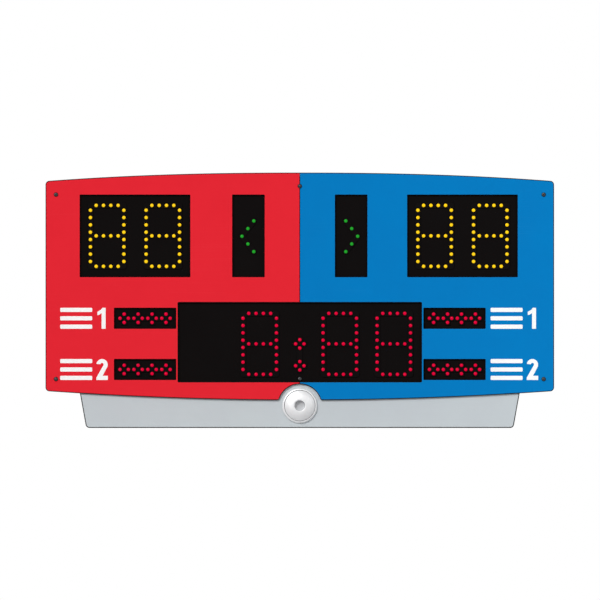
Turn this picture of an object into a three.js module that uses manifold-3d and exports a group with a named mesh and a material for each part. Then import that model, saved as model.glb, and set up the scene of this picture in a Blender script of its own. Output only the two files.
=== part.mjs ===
// Electronic scoreboard for combat sports, in millimetres
// X runs to the right as seen from the front, Y to the back, and Z up from the base at zero

import * as THREE from "three";
import { mergeVertices } from "three/addons/utils/BufferGeometryUtils.js";
import Module from "manifold-3d";

const wasm = await Module();
wasm.setup();

// Fits and steps that every piece shares
const overrun = 4; // how far a cutting solid reaches past what it cuts
const joinDepth = 0.4; // how far a joined solid reaches into its neighbour
const fitGap = 0.3; // clearance round each screw, plug and seat
const cornerSteps = 4;
const bowSteps = 12;
const roundSides = 16;
const boreSides = 10;

// Front panels, a red half and a blue half that meet at a seam
const panelHalfWidth = 317.85;
const panelThick = 3;
const panelFrontY = -40;
const panelTopZ = 319.2; // at the middle
const panelTopFall = 10.6; // from the middle to the corners
const panelTopBowShare = 2.3; // power of the bowed top edge
const panelBottomZ = 34.7;
const panelBottomRise = 11.4;
const panelBottomBowShare = 2;
const panelCornerRadius = 5;
const panelSeam = 0.4;

// Digits, each a black strip in the form of an 8 that carries 28 lamps
const lampRadius = 2.5;
const lampProud = 1.5;
const lampSides = 6;
const lampPitch = 9.15;
const stripWidth = 7;
const stripThick = 1;
const columnCount = 8;
const rowCount = 4;
const columnGap = 41.8; // between the two columns of a digit
const rowGap = 38.1; // from the middle row to the top or bottom row

// Scores
const scoreZ = 240.1;
const leftScoreX = -206;
const rightScoreX = 203.3;
const scoreDigitGap = 69.6;
const scoreMarginX = 13.2; // from the outer lamps to the edge of the window
const scoreMarginZ = 13.3;

// Arrows, five lamps each
const arrowX = 64.2;
const arrowZ = 239.6;
const arrowOffset = 0.7; // of the lamps towards the outside
const arrowStepX = 7.4;
const arrowStepZ = 9.6;
const arrowMarginX = 12.7;

// Clock, with one digit of minutes, a colon and two digits of seconds
const clockZ = 105.1;
const minutesX = -50.1;
const tensX = 50;
const secondsX = 117.5;
const colonLowerDrop = 27.4;
const clockMarginX = 13.4; // from the last lamps to the side of the window
const clockMarginTop = 13.3;
const clockMarginBottom = 9.1;

// Category rows, with four diamonds of four lamps each
const categoryX = 193.4;
const categoryUpperZ = 137.1;
const categoryLowerZ = 73.1;
const categoryPitch = 17.42;
const categoryCount = 4;
const categoryMarginX = 7.3;
const categoryMarginZ = 7.7;
const diamondArm = 5.23;

// Black boards behind the windows
const boardThick = 2;
const boardLap = 2.4; // how far a board reaches past its windows
const boardLedge = 6; // how far the case reaches in behind a board
const headerLong = 26;
const headerWide = 9;
const headerTall = 8;
const chipSide = 11;
const chipTall = 3;

// Screws, M3 with button heads
const screwRadius = 1.5;
const screwHeadRadius = 2.75;
const screwHeadTall = 1.7;
const screwCrownShares = [[0, 1], [0.5, 1], [0.86, 0.72], [1, 0.25], [1, 0]];
const screwLong = 12;
const screwSides = 8;
const screwInsetX = 13; // from the side of the panel
const screwInsetTopZ = 27.5; // from the middle height of the panel's top edge
const screwInsetBottomZ = 26.4;
const topScrewInset = 16.9;
const clockScrewInset = 3.5; // above the lower edge of the clock window

// Case
const caseDepth = 72;
const caseInset = 5; // from the edge of the front panels
const caseFrontWall = 4;
const caseWall = 3;
const plinthInset = 50; // at the base, from the side of the front panels
const plinthFlare = 0.18; // how much wider for each unit of height
const plinthTopZ = 62; // hidden behind the panels
const postRadius = 5.5;
const lowerPostInset = 17.8; // from the side of the plinth
const lowerPostZ = 15;

// Rear cover
const coverThick = 2;
const ventCount = 9;
const ventPitch = 13;
const ventWide = 4;
const ventTall = 46;
const ventX = 180; // centre of a group of vents
const ventZ = 215;
const keyholeInset = 50; // from the side of the front panels
const keyholeZ = 262;
const keyholeRadius = 5;
const keyholeSlotWide = 5;
const keyholeSlotTall = 13;
const standoffRadius = 3.5;
const standoffInset = 7; // from the edges of the control board

// Sounder on the front of the plinth
const sounderZ = 27.9;
const sounderRadius = 21.9;
const sounderFlange = 3;
const sounderBarrelRadius = 16;
const sounderBarrelLong = 20;
const sounderRecessRadius = 19.6;
const sounderRecess = 1.8;
const sounderBoreRadius = 9;
const sounderBoreDeep = 9;
const sounderCapRise = 4.3; // of the dome above the flange
const sounderCapShares = [[0.34, 1], [0.6, 0.86], [0.85, 0.45], [1, 0]];
const sounderDishFloor = 1.3; // thickness of the cap under its round dish
const sounderElementThick = 1;
const sounderNutRadius = 21;
const sounderNutThick = 5;
const sounderNutSides = 6;
const sounderSides = 24;
const cutoutRadius = 26.9; // of the round cut in the panels above the sounder
const cutoutFillet = 3;

// Control board and power supply
const controlHalfWidth = 95;
const controlBottomZ = 134;
const controlTopZ = 258;
const controlThick = 1.6;
const controlStandoff = 12.4; // from the rear cover to the board
const sideHeaderX = 70;
const sideHeaderZ = 240;
const middleHeaderZ = 146;
const processorSide = 24;
const processorZ = 205;
const driverCount = 4;
const driverPitch = 22;
const driverZ = 172;
const plugWide = 9;
const plugTall = 9;
const plugDeep = 8;
const sounderPlugX = 34;
const leftPlugX = 54;
const rightPlugX = 74;
const powerPlugX = -88;
const powerPlugZ = 160;
const supplyX = -170;
const supplyZ = 106;
const supplyLong = 120;
const supplyTall = 62;
const supplyDeep = 30;
const supplyLip = 1.5;

// Ribbons and leads inside
const ribbonWide = 22;
const ribbonThick = 1;
const ribbonBulge = 9;
const ribbonSteps = 10;
const leadRadius = 1.8;
const leadSides = 6;
const leadSteps = 14;
const leadShortBend = 14;
const leadBend = 28;
const leadLongBend = 48;

// Inlet, switch and sockets along the foot of the rear cover
const inletX = -190;
const footZ = 42;
const inletFlangeWide = 31;
const inletFlangeTall = 25;
const inletFlangeThick = 2;
const inletWide = 27;
const inletTall = 20;
const inletDeep = 20;
const inletMouthWide = 24;
const inletMouthTall = 16;
const inletMouthDeep = 16;
const bladeWide = 4;
const bladeThick = 2;
const bladeLong = 9;
const bladeGap = 7;
const bladeShift = 3;
const switchX = -145;
const switchBezelWide = 15;
const switchBezelTall = 21;
const switchBezelThick = 2;
const switchWide = 12.8;
const switchTall = 19.2;
const switchDeep = 14;
const switchWall = 1;
const switchWellDeep = 9;
const rockerPivotY = -1; // from the outer face of the cover
const rockerHalfTall = 7.6;
const rockerEndRise = 3.4;
const rockerMiddleRise = 2.2;
const rockerKeelHalf = 1.5;
const rockerKeelDrop = 3.6;
const rockerEdgeDrop = 0.5;
const rockerTilt = THREE.MathUtils.degToRad(8);
const leftSocketX = 130;
const rightSocketX = 170;
const socketFlangeRadius = 11;
const socketFlangeThick = 2.5;
const socketRadius = 8;
const socketDeep = 15;
const socketBoreRadius = 6.2;
const socketBoreDeep = 12;
const socketPinRadius = 0.8;
const socketPinCircle = 3;
const socketPinLong = 6;
const socketPinCount = 4;
const socketPinSides = 6;

// Carrying handle on the back
const handleZ = 262;
const handleReach = 10; // from the rear cover to the pivot
const handleHalfSpan = 62;
const handleDrop = 50;
const handleBend = 11;
const handleRadius = 3.5;
const handleSides = 10;
const handleSteps = 36;
const gripHalf = 42;
const gripWall = 3;
const bracketGap = 1.5; // between the bend of the handle and a bracket
const bracketWide = 14;
const bracketTall = 19;
const bracketSteps = 6;
const handleEnd = 1.5; // how far the handle comes out of a bracket

// Planes and places that follow from the sizes above
const panelBackY = panelFrontY + panelThick;
const wallBackY = panelBackY + caseFrontWall;
const pocketY = panelBackY + boardThick;
const rearY = panelBackY + caseDepth;
const coverY = rearY + coverThick;
const seamX = panelSeam / 2;
const scoreWindowHeight = 2 * (rowGap + scoreMarginZ);
const scoreWindowWidth = scoreDigitGap + columnGap + 2 * scoreMarginX;
const arrowWindowWidth = 2 * (arrowStepX + arrowMarginX);
const clockWindowWidth = 2 * (secondsX + columnGap / 2 + clockMarginX);
const clockWindowHeight = 2 * rowGap + clockMarginTop + clockMarginBottom;
const clockWindowZ = clockZ + (clockMarginTop - clockMarginBottom) / 2;
const categoryWindowWidth = (categoryCount - 1) * categoryPitch + 2 * (diamondArm + categoryMarginX);
const categoryWindowHeight = 2 * (diamondArm + categoryMarginZ);
const plinthHalfWidth = panelHalfWidth - plinthInset;
const lowerPostX = plinthHalfWidth - lowerPostInset;
const keyholeX = panelHalfWidth - keyholeInset;
const clockScrewZ = clockWindowZ - clockWindowHeight / 2 + clockScrewInset;
const screwX = panelHalfWidth - screwInsetX;
const screwHighZ = panelTopZ - screwInsetTopZ;
const screwLowZ = panelBottomZ + screwInsetBottomZ;
const topScrewZ = panelTopZ - topScrewInset;
const controlY = rearY - controlStandoff;
const controlFaceY = controlY - controlThick;
const plugY = controlFaceY - plugDeep / 2;

const windows = {
  leftScore: { x: leftScoreX, z: scoreZ, width: scoreWindowWidth, height: scoreWindowHeight },
  rightScore: { x: rightScoreX, z: scoreZ, width: scoreWindowWidth, height: scoreWindowHeight },
  leftArrow: { x: -arrowX, z: scoreZ, width: arrowWindowWidth, height: scoreWindowHeight },
  rightArrow: { x: arrowX, z: scoreZ, width: arrowWindowWidth, height: scoreWindowHeight },
  clock: { x: 0, z: clockWindowZ, width: clockWindowWidth, height: clockWindowHeight },
  leftUpper: categoryWindow(-1, categoryUpperZ),
  leftLower: categoryWindow(-1, categoryLowerZ),
  rightUpper: categoryWindow(1, categoryUpperZ),
  rightLower: categoryWindow(1, categoryLowerZ),
};

const boards = {
  left: boardAround(windows.leftScore, windows.leftArrow),
  right: boardAround(windows.rightArrow, windows.rightScore),
  lower: boardAround(windows.clock, windows.leftUpper, windows.leftLower, windows.rightUpper,
    windows.rightLower),
};

const panelScrews = [
  { name: "panel_screw_top_left", x: -screwX, z: screwHighZ, seatY: panelFrontY },
  { name: "panel_screw_top_right", x: screwX, z: screwHighZ, seatY: panelFrontY },
  { name: "panel_screw_bottom_left", x: -screwX, z: screwLowZ, seatY: panelFrontY },
  { name: "panel_screw_bottom_right", x: screwX, z: screwLowZ, seatY: panelFrontY },
  { name: "panel_screw_top_middle", x: 0, z: topScrewZ, seatY: panelFrontY },
  { name: "panel_screw_bottom_middle", x: 0, z: clockScrewZ, seatY: panelBackY },
];

const coverScrews = [
  { name: "cover_screw_top_left", x: -screwX, z: screwHighZ },
  { name: "cover_screw_top_right", x: screwX, z: screwHighZ },
  { name: "cover_screw_side_left", x: -screwX, z: screwLowZ },
  { name: "cover_screw_side_right", x: screwX, z: screwLowZ },
  { name: "cover_screw_top_middle", x: 0, z: topScrewZ },
  { name: "cover_screw_lower_middle", x: 0, z: clockScrewZ },
  { name: "cover_screw_foot_left", x: -lowerPostX, z: lowerPostZ },
  { name: "cover_screw_foot_right", x: lowerPostX, z: lowerPostZ },
];

const sockets = [
  { name: "controller_socket_left", lead: "socket_lead_left", x: leftSocketX, plugX: leftPlugX },
  { name: "controller_socket_right", lead: "socket_lead_right", x: rightSocketX, plugX: rightPlugX },
];

// Materials
const redPaint = finish(0xe52b38, 0.45, 0);
const bluePaint = finish(0x007ac0, 0.45, 0);
const greyPaint = finish(0xc1c6c9, 0.5, 0);
const blackBoard = finish(0x110f0d, 0.6, 0);
const yellowLamp = finish(0xffde17, 0.3, 0);
const redLamp = finish(0xec003f, 0.3, 0);
const greenLamp = finish(0x2bb232, 0.3, 0);
const blackSteel = finish(0x242628, 0.4, 0.6);
const whitePlastic = finish(0xf2f2f2, 0.35, 0);
const brass = finish(0xb5a16a, 0.35, 0.9);
const steel = finish(0xb8bcc0, 0.35, 0.9);
const greenBoard = finish(0x1f6b3a, 0.5, 0);
const blackPlastic = finish(0x1b1c1e, 0.55, 0);
const greyRibbon = finish(0x9a9ea2, 0.6, 0);
const blackRubber = finish(0x202224, 0.8, 0);

function finish(color, roughness, metalness) {
  return new THREE.MeshStandardMaterial({ color, roughness, metalness });
}

function categoryWindow(side, z) {
  return { x: side * categoryX, z, width: categoryWindowWidth, height: categoryWindowHeight };
}

// The rectangle that a board fills behind the given windows
function boardAround(...list) {
  return {
    left: Math.min(...list.map((w) => w.x - w.width / 2)) - boardLap,
    right: Math.max(...list.map((w) => w.x + w.width / 2)) + boardLap,
    bottom: Math.min(...list.map((w) => w.z - w.height / 2)) - boardLap,
    top: Math.max(...list.map((w) => w.z + w.height / 2)) + boardLap,
  };
}

// Solids and geometries
function toSolid(geometry) {
  const bare = geometry.clone();
  bare.deleteAttribute("normal");
  bare.deleteAttribute("uv");
  const merged = mergeVertices(bare);
  return new wasm.Manifold(new wasm.Mesh({
    numProp: 3,
    vertProperties: new Float32Array(merged.attributes.position.array),
    triVerts: new Uint32Array(merged.index.array),
  }));
}

function toGeometry(solid) {
  const mesh = solid.getMesh();
  const geometry = new THREE.BufferGeometry();
  geometry.setAttribute("position", new THREE.BufferAttribute(mesh.vertProperties, mesh.numProp));
  geometry.setIndex(new THREE.BufferAttribute(mesh.triVerts, 1));
  geometry.computeVertexNormals();
  return geometry;
}

function join(...solids) {
  return solids.reduce((sum, solid) => sum.add(solid));
}

function cut(solid, ...tools) {
  return tools.reduce((rest, tool) => rest.subtract(tool), solid);
}

function slab(x0, x1, y0, y1, z0, z1) {
  const box = new THREE.BoxGeometry(x1 - x0, y1 - y0, z1 - z0);
  return toSolid(box.translate((x0 + x1) / 2, (y0 + y1) / 2, (z0 + z1) / 2));
}

// A slab that is centred on x and z
function block(x, z, width, height, y0, y1) {
  return slab(x - width / 2, x + width / 2, y0, y1, z - height / 2, z + height / 2);
}

function rod(radius, x, z, y0, y1, sides) {
  const cylinder = new THREE.CylinderGeometry(radius, radius, y1 - y0, sides);
  return toSolid(cylinder.translate(x, (y0 + y1) / 2, z));
}

// A hole whose flats clear a round of the given radius
function bore(radius, x, z, y0, y1) {
  return rod(radius / Math.cos(Math.PI / boreSides), x, z, y0, y1, boreSides);
}

// A profile of radius and depth turned about the Y axis
function turned(profile, sides) {
  return toSolid(new THREE.LatheGeometry(profile.map(([r, y]) => new THREE.Vector2(r, y)), sides));
}

// A front view outline of x and z given its depth
function plate(points, y0, y1) {
  const shape = new THREE.Shape(points.map(([x, z]) => new THREE.Vector2(x, z)));
  const geometry = new THREE.ExtrudeGeometry(shape, { depth: y1 - y0, bevelEnabled: false });
  return toSolid(geometry.rotateX(Math.PI / 2).translate(0, y1, 0));
}

// A side view outline of y and z given its width about x = 0
function sidePlate(points, width) {
  const shape = new THREE.Shape(points.map(([y, z]) => new THREE.Vector2(y, z)));
  const geometry = new THREE.ExtrudeGeometry(shape, { depth: width, bevelEnabled: false });
  const turn = new THREE.Matrix4().makeBasis(
    new THREE.Vector3(0, 1, 0), new THREE.Vector3(0, 0, 1), new THREE.Vector3(1, 0, 0));
  return toSolid(geometry.applyMatrix4(turn).translate(-width / 2, 0, 0));
}

function arc(x, z, radius, from, to, steps) {
  return Array.from({ length: steps + 1 }, (_, k) => {
    const angle = from + ((to - from) * k) / steps;
    return [x + radius * Math.cos(angle), z + radius * Math.sin(angle)];
  });
}

function mirrored(points) {
  return points.map(([x, z]) => [-x, z]);
}

// Outline of the panels and of the case behind them
function topEdge(x, inset) {
  return panelTopZ - inset - panelTopFall * (Math.abs(x) / panelHalfWidth) ** panelTopBowShare;
}

function bottomEdge(x, inset) {
  return panelBottomZ + inset
    + panelBottomRise * (Math.abs(x) / panelHalfWidth) ** panelBottomBowShare;
}

function edgeRun(edge, inset, fromX, toX) {
  return Array.from({ length: bowSteps + 1 }, (_, k) => {
    const x = fromX + ((toX - fromX) * k) / bowSteps;
    return [x, edge(x, inset)];
  });
}

// The right half of the outline, from the top near the middle clockwise to the bottom
function rightOutline(inset, topX, bottomX) {
  const cornerX = panelHalfWidth - inset - panelCornerRadius;
  const highZ = topEdge(cornerX, inset) - panelCornerRadius;
  const lowZ = bottomEdge(cornerX, inset) + panelCornerRadius;
  return [
    ...edgeRun(topEdge, inset, topX, cornerX),
    ...arc(cornerX, highZ, panelCornerRadius, Math.PI / 2, 0, cornerSteps).slice(1),
    ...arc(cornerX, lowZ, panelCornerRadius, 0, -Math.PI / 2, cornerSteps),
    ...edgeRun(bottomEdge, inset, cornerX, bottomX).slice(1),
  ];
}

function panelOutline() {
  const filletZ = panelBottomZ + cutoutFillet;
  const filletX = Math.sqrt((cutoutRadius + cutoutFillet) ** 2 - (filletZ - sounderZ) ** 2);
  const lean = Math.atan2(filletZ - sounderZ, filletX);
  const last = Math.acos(seamX / cutoutRadius);
  return [
    ...rightOutline(0, seamX, filletX),
    ...arc(filletX, filletZ, cutoutFillet, -Math.PI / 2, lean - Math.PI, cornerSteps).slice(1),
    ...arc(0, sounderZ, cutoutRadius, lean, last, bowSteps).slice(1),
  ];
}

function screwCut(screw, radius, y0, y1) {
  return bore(radius + fitGap, screw.x, screw.z, y0, y1);
}

function frontPanel(side) {
  const outline = side > 0 ? panelOutline() : mirrored(panelOutline());
  const openings = Object.values(windows).map((w) => block(
    w.x, w.z, w.width, w.height, panelFrontY - overrun, panelBackY + overrun));
  const holes = panelScrews.map((screw) => screwCut(
    screw, screwRadius, panelFrontY - overrun, panelBackY + overrun));
  return cut(plate(outline, panelFrontY, panelBackY), ...openings, ...holes);
}

// A straight piece of strip from one lamp to another
function strip([x0, z0], [x1, z1]) {
  const length = Math.hypot(x1 - x0, z1 - z0) + stripWidth;
  const bar = new THREE.BoxGeometry(length, stripThick, stripWidth);
  bar.rotateY(-Math.atan2(z1 - z0, x1 - x0));
  return toSolid(bar.translate((x0 + x1) / 2, -stripThick / 2, (z0 + z1) / 2));
}

// Strips and lamps joined, with y = 0 on the board behind
function lampUnit(strips, lamps) {
  const heads = lamps.map(([x, z]) => rod(
    lampRadius, x, z, -stripThick - lampProud, joinDepth - stripThick, lampSides));
  return join(...strips.map(([from, to]) => strip(from, to)), ...heads);
}

function centred(count, pitch) {
  return Array.from({ length: count }, (_, k) => (k - (count - 1) / 2) * pitch);
}

function digit() {
  const side = columnGap / 2;
  const rows = [rowGap, 0, -rowGap];
  const lamps = [
    ...[-side, side].flatMap((x) => centred(columnCount, lampPitch).map((z) => [x, z])),
    ...rows.flatMap((z) => centred(rowCount, lampPitch).map((x) => [x, z])),
  ];
  const strips = [
    ...[-side, side].map((x) => [[x, -rowGap], [x, rowGap]]),
    ...rows.map((z) => [[-side, z], [side, z]]),
  ];
  return lampUnit(strips, lamps);
}

function arrow(side) {
  const tip = [side * arrowStepX, 0];
  const upper = [-side * arrowStepX, 2 * arrowStepZ];
  const lower = [-side * arrowStepX, -2 * arrowStepZ];
  const lamps = [tip, [0, arrowStepZ], [0, -arrowStepZ], upper, lower];
  return lampUnit([[tip, upper], [tip, lower]], lamps);
}

function diamond(x, z) {
  return [[x - diamondArm, z], [x + diamondArm, z], [x, z - diamondArm], [x, z + diamondArm]];
}

function colon() {
  const places = [0, -colonLowerDrop];
  const crossBars = places.map((z) => [[-diamondArm, z], [diamondArm, z]]);
  const spine = [[0, diamondArm], [0, -colonLowerDrop - diamondArm]];
  return lampUnit([spine, ...crossBars], places.flatMap((z) => diamond(0, z)));
}

function categoryRow() {
  const places = centred(categoryCount, categoryPitch);
  const last = places[categoryCount - 1] + diamondArm;
  const crossBars = places.map((x) => [[x, -diamondArm], [x, diamondArm]]);
  return lampUnit([[[-last, 0], [last, 0]], ...crossBars], places.flatMap((x) => diamond(x, 0)));
}

// A black board with its plug header and driver chips on the back
function displayBoard(area, headerX, headerZ, upright) {
  const body = slab(area.left, area.right, panelBackY, pocketY, area.bottom, area.top);
  const wide = upright ? headerWide : headerLong;
  const tall = upright ? headerLong : headerWide;
  const header = block(headerX, headerZ, wide, tall, pocketY - joinDepth, pocketY + headerTall);
  const span = (area.right - area.left) / (driverCount + 1);
  const middleX = (area.left + area.right) / 2;
  const middleZ = (area.bottom + area.top) / 2;
  const chips = centred(driverCount, span).map((x) => block(
    middleX + x, middleZ, chipSide, chipSide, pocketY - joinDepth, pocketY + chipTall));
  const holes = panelScrews.map((screw) => screwCut(
    screw, screwRadius, panelBackY - overrun, pocketY + overrun));
  return cut(join(body, header, ...chips), ...holes);
}

function caseOutline(inset) {
  const right = rightOutline(caseInset + inset, 0, 0);
  return [...right, ...mirrored(right).reverse().slice(1, -1)];
}

function plinthOutline(inset) {
  const radius = panelCornerRadius - inset;
  const flareAngle = Math.atan(plinthFlare);
  const centreX = plinthHalfWidth - inset - radius;
  const centreZ = inset + radius;
  const rise = plinthTopZ - centreZ;
  const right = [
    ...arc(centreX, centreZ, radius, -Math.PI / 2, -flareAngle, cornerSteps),
    [centreX + radius / Math.cos(flareAngle) + rise * plinthFlare, plinthTopZ],
  ];
  return [...right, ...mirrored(right).reverse()];
}

function caseShell() {
  const outer = join(
    plate(caseOutline(0), panelBackY, rearY),
    plate(plinthOutline(0), panelBackY, rearY));
  const hollow = join(
    plate(caseOutline(caseWall), wallBackY, rearY + overrun),
    plate(plinthOutline(caseWall), wallBackY, rearY + overrun));
  const pockets = Object.values(boards).map((b) => slab(
    b.left - fitGap, b.right + fitGap, panelBackY - overrun, pocketY,
    b.bottom - fitGap, b.top + fitGap));
  const openings = Object.values(boards).map((b) => slab(
    b.left + boardLedge, b.right - boardLedge, pocketY - overrun, wallBackY + overrun,
    b.bottom + boardLedge, b.top - boardLedge));
  const shell = cut(outer, hollow, ...pockets, ...openings);
  const posts = coverScrews.map((screw) => rod(
    postRadius, screw.x, screw.z, pocketY, rearY, roundSides));
  const frontHoles = panelScrews.map((screw) => screwCut(
    screw, screwRadius, panelBackY - overrun, screw.seatY + screwLong + fitGap));
  const rearHoles = coverScrews.map((screw) => screwCut(
    screw, screwRadius, coverY - screwLong - fitGap, rearY + overrun));
  const sounderHole = bore(
    sounderBarrelRadius + fitGap, 0, sounderZ, panelBackY - overrun, wallBackY + overrun);
  return cut(join(shell, ...posts), ...frontHoles, ...rearHoles, sounderHole);
}

function keyhole(side) {
  const slotTop = keyholeZ + keyholeSlotTall;
  return join(
    bore(keyholeRadius, side * keyholeX, keyholeZ, rearY - overrun, coverY + overrun),
    block(side * keyholeX, (keyholeZ + slotTop) / 2, keyholeSlotWide, keyholeSlotTall,
      rearY - overrun, coverY + overrun));
}

function vents(side) {
  return centred(ventCount, ventPitch).map((x) => block(
    side * ventX + x, ventZ, ventWide, ventTall, rearY - overrun, coverY + overrun));
}

function rearCover() {
  const sheet = join(
    plate(caseOutline(0), rearY, coverY),
    plate(plinthOutline(0), rearY, coverY));
  const standoffX = controlHalfWidth - standoffInset;
  const standoffs = [-standoffX, standoffX].flatMap((x) =>
    [controlBottomZ + standoffInset, controlTopZ - standoffInset].map((z) => rod(
      standoffRadius, x, z, controlY, rearY + joinDepth, boreSides)));
  const holes = coverScrews.map((screw) => screwCut(
    screw, screwRadius, rearY - overrun, coverY + overrun));
  const wide = 2 * fitGap;
  const mouths = [
    block(inletX, footZ, inletWide + wide, inletTall + wide, rearY - overrun, coverY + overrun),
    block(switchX, footZ, switchWide + wide, switchTall + wide, rearY - overrun, coverY + overrun),
    ...sockets.map((socket) => bore(
      socketRadius + fitGap, socket.x, footZ, rearY - overrun, coverY + overrun)),
  ];
  return cut(join(sheet, ...standoffs), ...holes, ...mouths, ...vents(-1), ...vents(1),
    keyhole(-1), keyhole(1));
}

// A screw whose head lies on y = 0 and whose shank points along +Y
function screw() {
  const crown = screwCrownShares.map(([r, h]) => [r * screwHeadRadius, -h * screwHeadTall]);
  return turned([...crown, [screwRadius, 0], [screwRadius, screwLong], [0, screwLong]], screwSides);
}

// The sounder's pieces, with y = 0 on the front of the case
function sounderBody() {
  return turned([
    [0, sounderBoreDeep],
    [sounderBoreRadius, sounderBoreDeep],
    [sounderBoreRadius, sounderRecess - sounderFlange],
    [sounderRecessRadius, sounderRecess - sounderFlange],
    [sounderRecessRadius, -sounderFlange],
    [sounderRadius, -sounderFlange],
    [sounderRadius, 0],
    [sounderBarrelRadius, 0],
    [sounderBarrelRadius, sounderBarrelLong],
    [0, sounderBarrelLong],
  ], sounderSides);
}

function sounderCap() {
  const radius = sounderRecessRadius - fitGap;
  const seat = sounderRecess - sounderFlange;
  const dome = sounderCapShares.map(([r, h]) => [r * radius, -sounderFlange - h * sounderCapRise]);
  const floor = seat - sounderDishFloor;
  return turned([[0, floor], [dome[0][0], floor], ...dome, [radius, seat], [0, seat]],
    sounderSides);
}

function sounderElement() {
  return rod(sounderBoreRadius - fitGap, 0, 0, sounderBoreDeep - sounderElementThick,
    sounderBoreDeep, sounderSides);
}

function sounderNut() {
  return cut(
    rod(sounderNutRadius, 0, 0, caseFrontWall, caseFrontWall + sounderNutThick, sounderNutSides),
    bore(sounderBarrelRadius + fitGap, 0, 0, caseFrontWall - overrun,
      caseFrontWall + sounderNutThick + overrun));
}

function plug(x, z) {
  return block(x, z, plugWide, plugTall, controlFaceY - plugDeep, controlFaceY + joinDepth);
}

function controlBoard() {
  const face = controlFaceY + joinDepth;
  const headerFront = controlFaceY - headerTall;
  const plugZ = controlBottomZ + plugTall / 2;
  return join(
    slab(-controlHalfWidth, controlHalfWidth, controlFaceY, controlY, controlBottomZ, controlTopZ),
    block(-sideHeaderX, sideHeaderZ, headerWide, headerLong, headerFront, face),
    block(sideHeaderX, sideHeaderZ, headerWide, headerLong, headerFront, face),
    block(0, middleHeaderZ, headerLong, headerWide, headerFront, face),
    block(0, processorZ, processorSide, processorSide, controlFaceY - chipTall, face),
    ...centred(driverCount, driverPitch).map((x) => block(
      x, driverZ, chipSide, chipSide, controlFaceY - chipTall, face)),
    plug(sounderPlugX, plugZ),
    ...sockets.map((socket) => plug(socket.plugX, plugZ)),
    plug(powerPlugX, powerPlugZ));
}

function powerSupply() {
  const box = block(supplyX, supplyZ, supplyLong, supplyTall, rearY - supplyDeep, rearY);
  const cover = block(supplyX, supplyZ, supplyLong - 2 * supplyLip, supplyTall - 2 * supplyLip,
    rearY - supplyDeep - supplyLip, rearY - supplyDeep + joinDepth);
  return join(box, cover);
}

// The line of a ribbon between two headers, as depth and sideways bulge
function ribbonLine() {
  const from = pocketY + headerTall + fitGap;
  const to = controlFaceY - headerTall - fitGap;
  return Array.from({ length: ribbonSteps + 1 }, (_, k) => {
    const share = k / ribbonSteps;
    return [from + (to - from) * share, ribbonBulge * Math.sin(Math.PI * share) ** 2];
  });
}

function ribbonSection() {
  const line = ribbonLine();
  const near = line.map(([y, bulge]) => [y, bulge - ribbonThick / 2]);
  const far = line.map(([y, bulge]) => [y, bulge + ribbonThick / 2]);
  return [...near, ...far.reverse()];
}

// A lead between two places, leaving each of them along the offset given with it
function lead(from, fromAway, to, toAway) {
  const ring = arc(0, 0, leadRadius, 0, 2 * Math.PI, leadSides).slice(1);
  const shape = new THREE.Shape(ring.map(([x, y]) => new THREE.Vector2(x, y)));
  const start = new THREE.Vector3(...from);
  const end = new THREE.Vector3(...to);
  const route = new THREE.CubicBezierCurve3(
    start, start.clone().add(new THREE.Vector3(...fromAway)),
    end.clone().add(new THREE.Vector3(...toAway)), end);
  return toSolid(new THREE.ExtrudeGeometry(shape, {
    steps: leadSteps, extrudePath: route, bevelEnabled: false,
  }));
}

// The inlet, with y = 0 on the outer face of the rear cover
function inlet() {
  const blades = [[-bladeGap, -bladeShift], [0, bladeShift], [bladeGap, -bladeShift]];
  const body = join(
    block(0, 0, inletFlangeWide, inletFlangeTall, 0, inletFlangeThick),
    block(0, 0, inletWide, inletTall, -inletDeep, joinDepth));
  const floorY = inletFlangeThick - inletMouthDeep;
  const mouth = block(0, 0, inletMouthWide, inletMouthTall, floorY, inletFlangeThick + overrun);
  return join(
    cut(body, mouth),
    ...blades.map(([x, z]) => block(
      x, z, bladeThick, bladeWide, floorY - joinDepth, floorY + bladeLong)));
}

function switchFrame() {
  const body = join(
    block(0, 0, switchBezelWide, switchBezelTall, 0, switchBezelThick),
    block(0, 0, switchWide, switchTall, -switchDeep, joinDepth));
  const floorY = switchBezelThick - switchWellDeep;
  return cut(body, block(0, 0, switchWide - 2 * switchWall, switchTall - 2 * switchWall,
    floorY, switchBezelThick + overrun));
}

function rocker() {
  const width = switchWide - 2 * switchWall - 2 * fitGap;
  return sidePlate([
    [rockerEndRise, -rockerHalfTall],
    [rockerMiddleRise, 0],
    [rockerEndRise, rockerHalfTall],
    [-rockerEdgeDrop, rockerHalfTall],
    [-rockerKeelDrop, rockerKeelHalf],
    [-rockerKeelDrop, -rockerKeelHalf],
    [-rockerEdgeDrop, -rockerHalfTall],
  ], width);
}

function socket() {
  const floorY = socketFlangeThick - socketBoreDeep;
  const body = join(
    rod(socketFlangeRadius, 0, 0, 0, socketFlangeThick, roundSides),
    rod(socketRadius, 0, 0, -socketDeep, joinDepth, roundSides));
  const hollow = bore(socketBoreRadius, 0, 0, floorY, socketFlangeThick + overrun);
  const pins = Array.from({ length: socketPinCount }, (_, k) => {
    const angle = (2 * Math.PI * (k + 0.5)) / socketPinCount;
    return rod(socketPinRadius, socketPinCircle * Math.cos(angle), socketPinCircle * Math.sin(angle),
      floorY - joinDepth, floorY + socketPinLong, socketPinSides);
  });
  return join(cut(body, hollow), ...pins);
}

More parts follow.
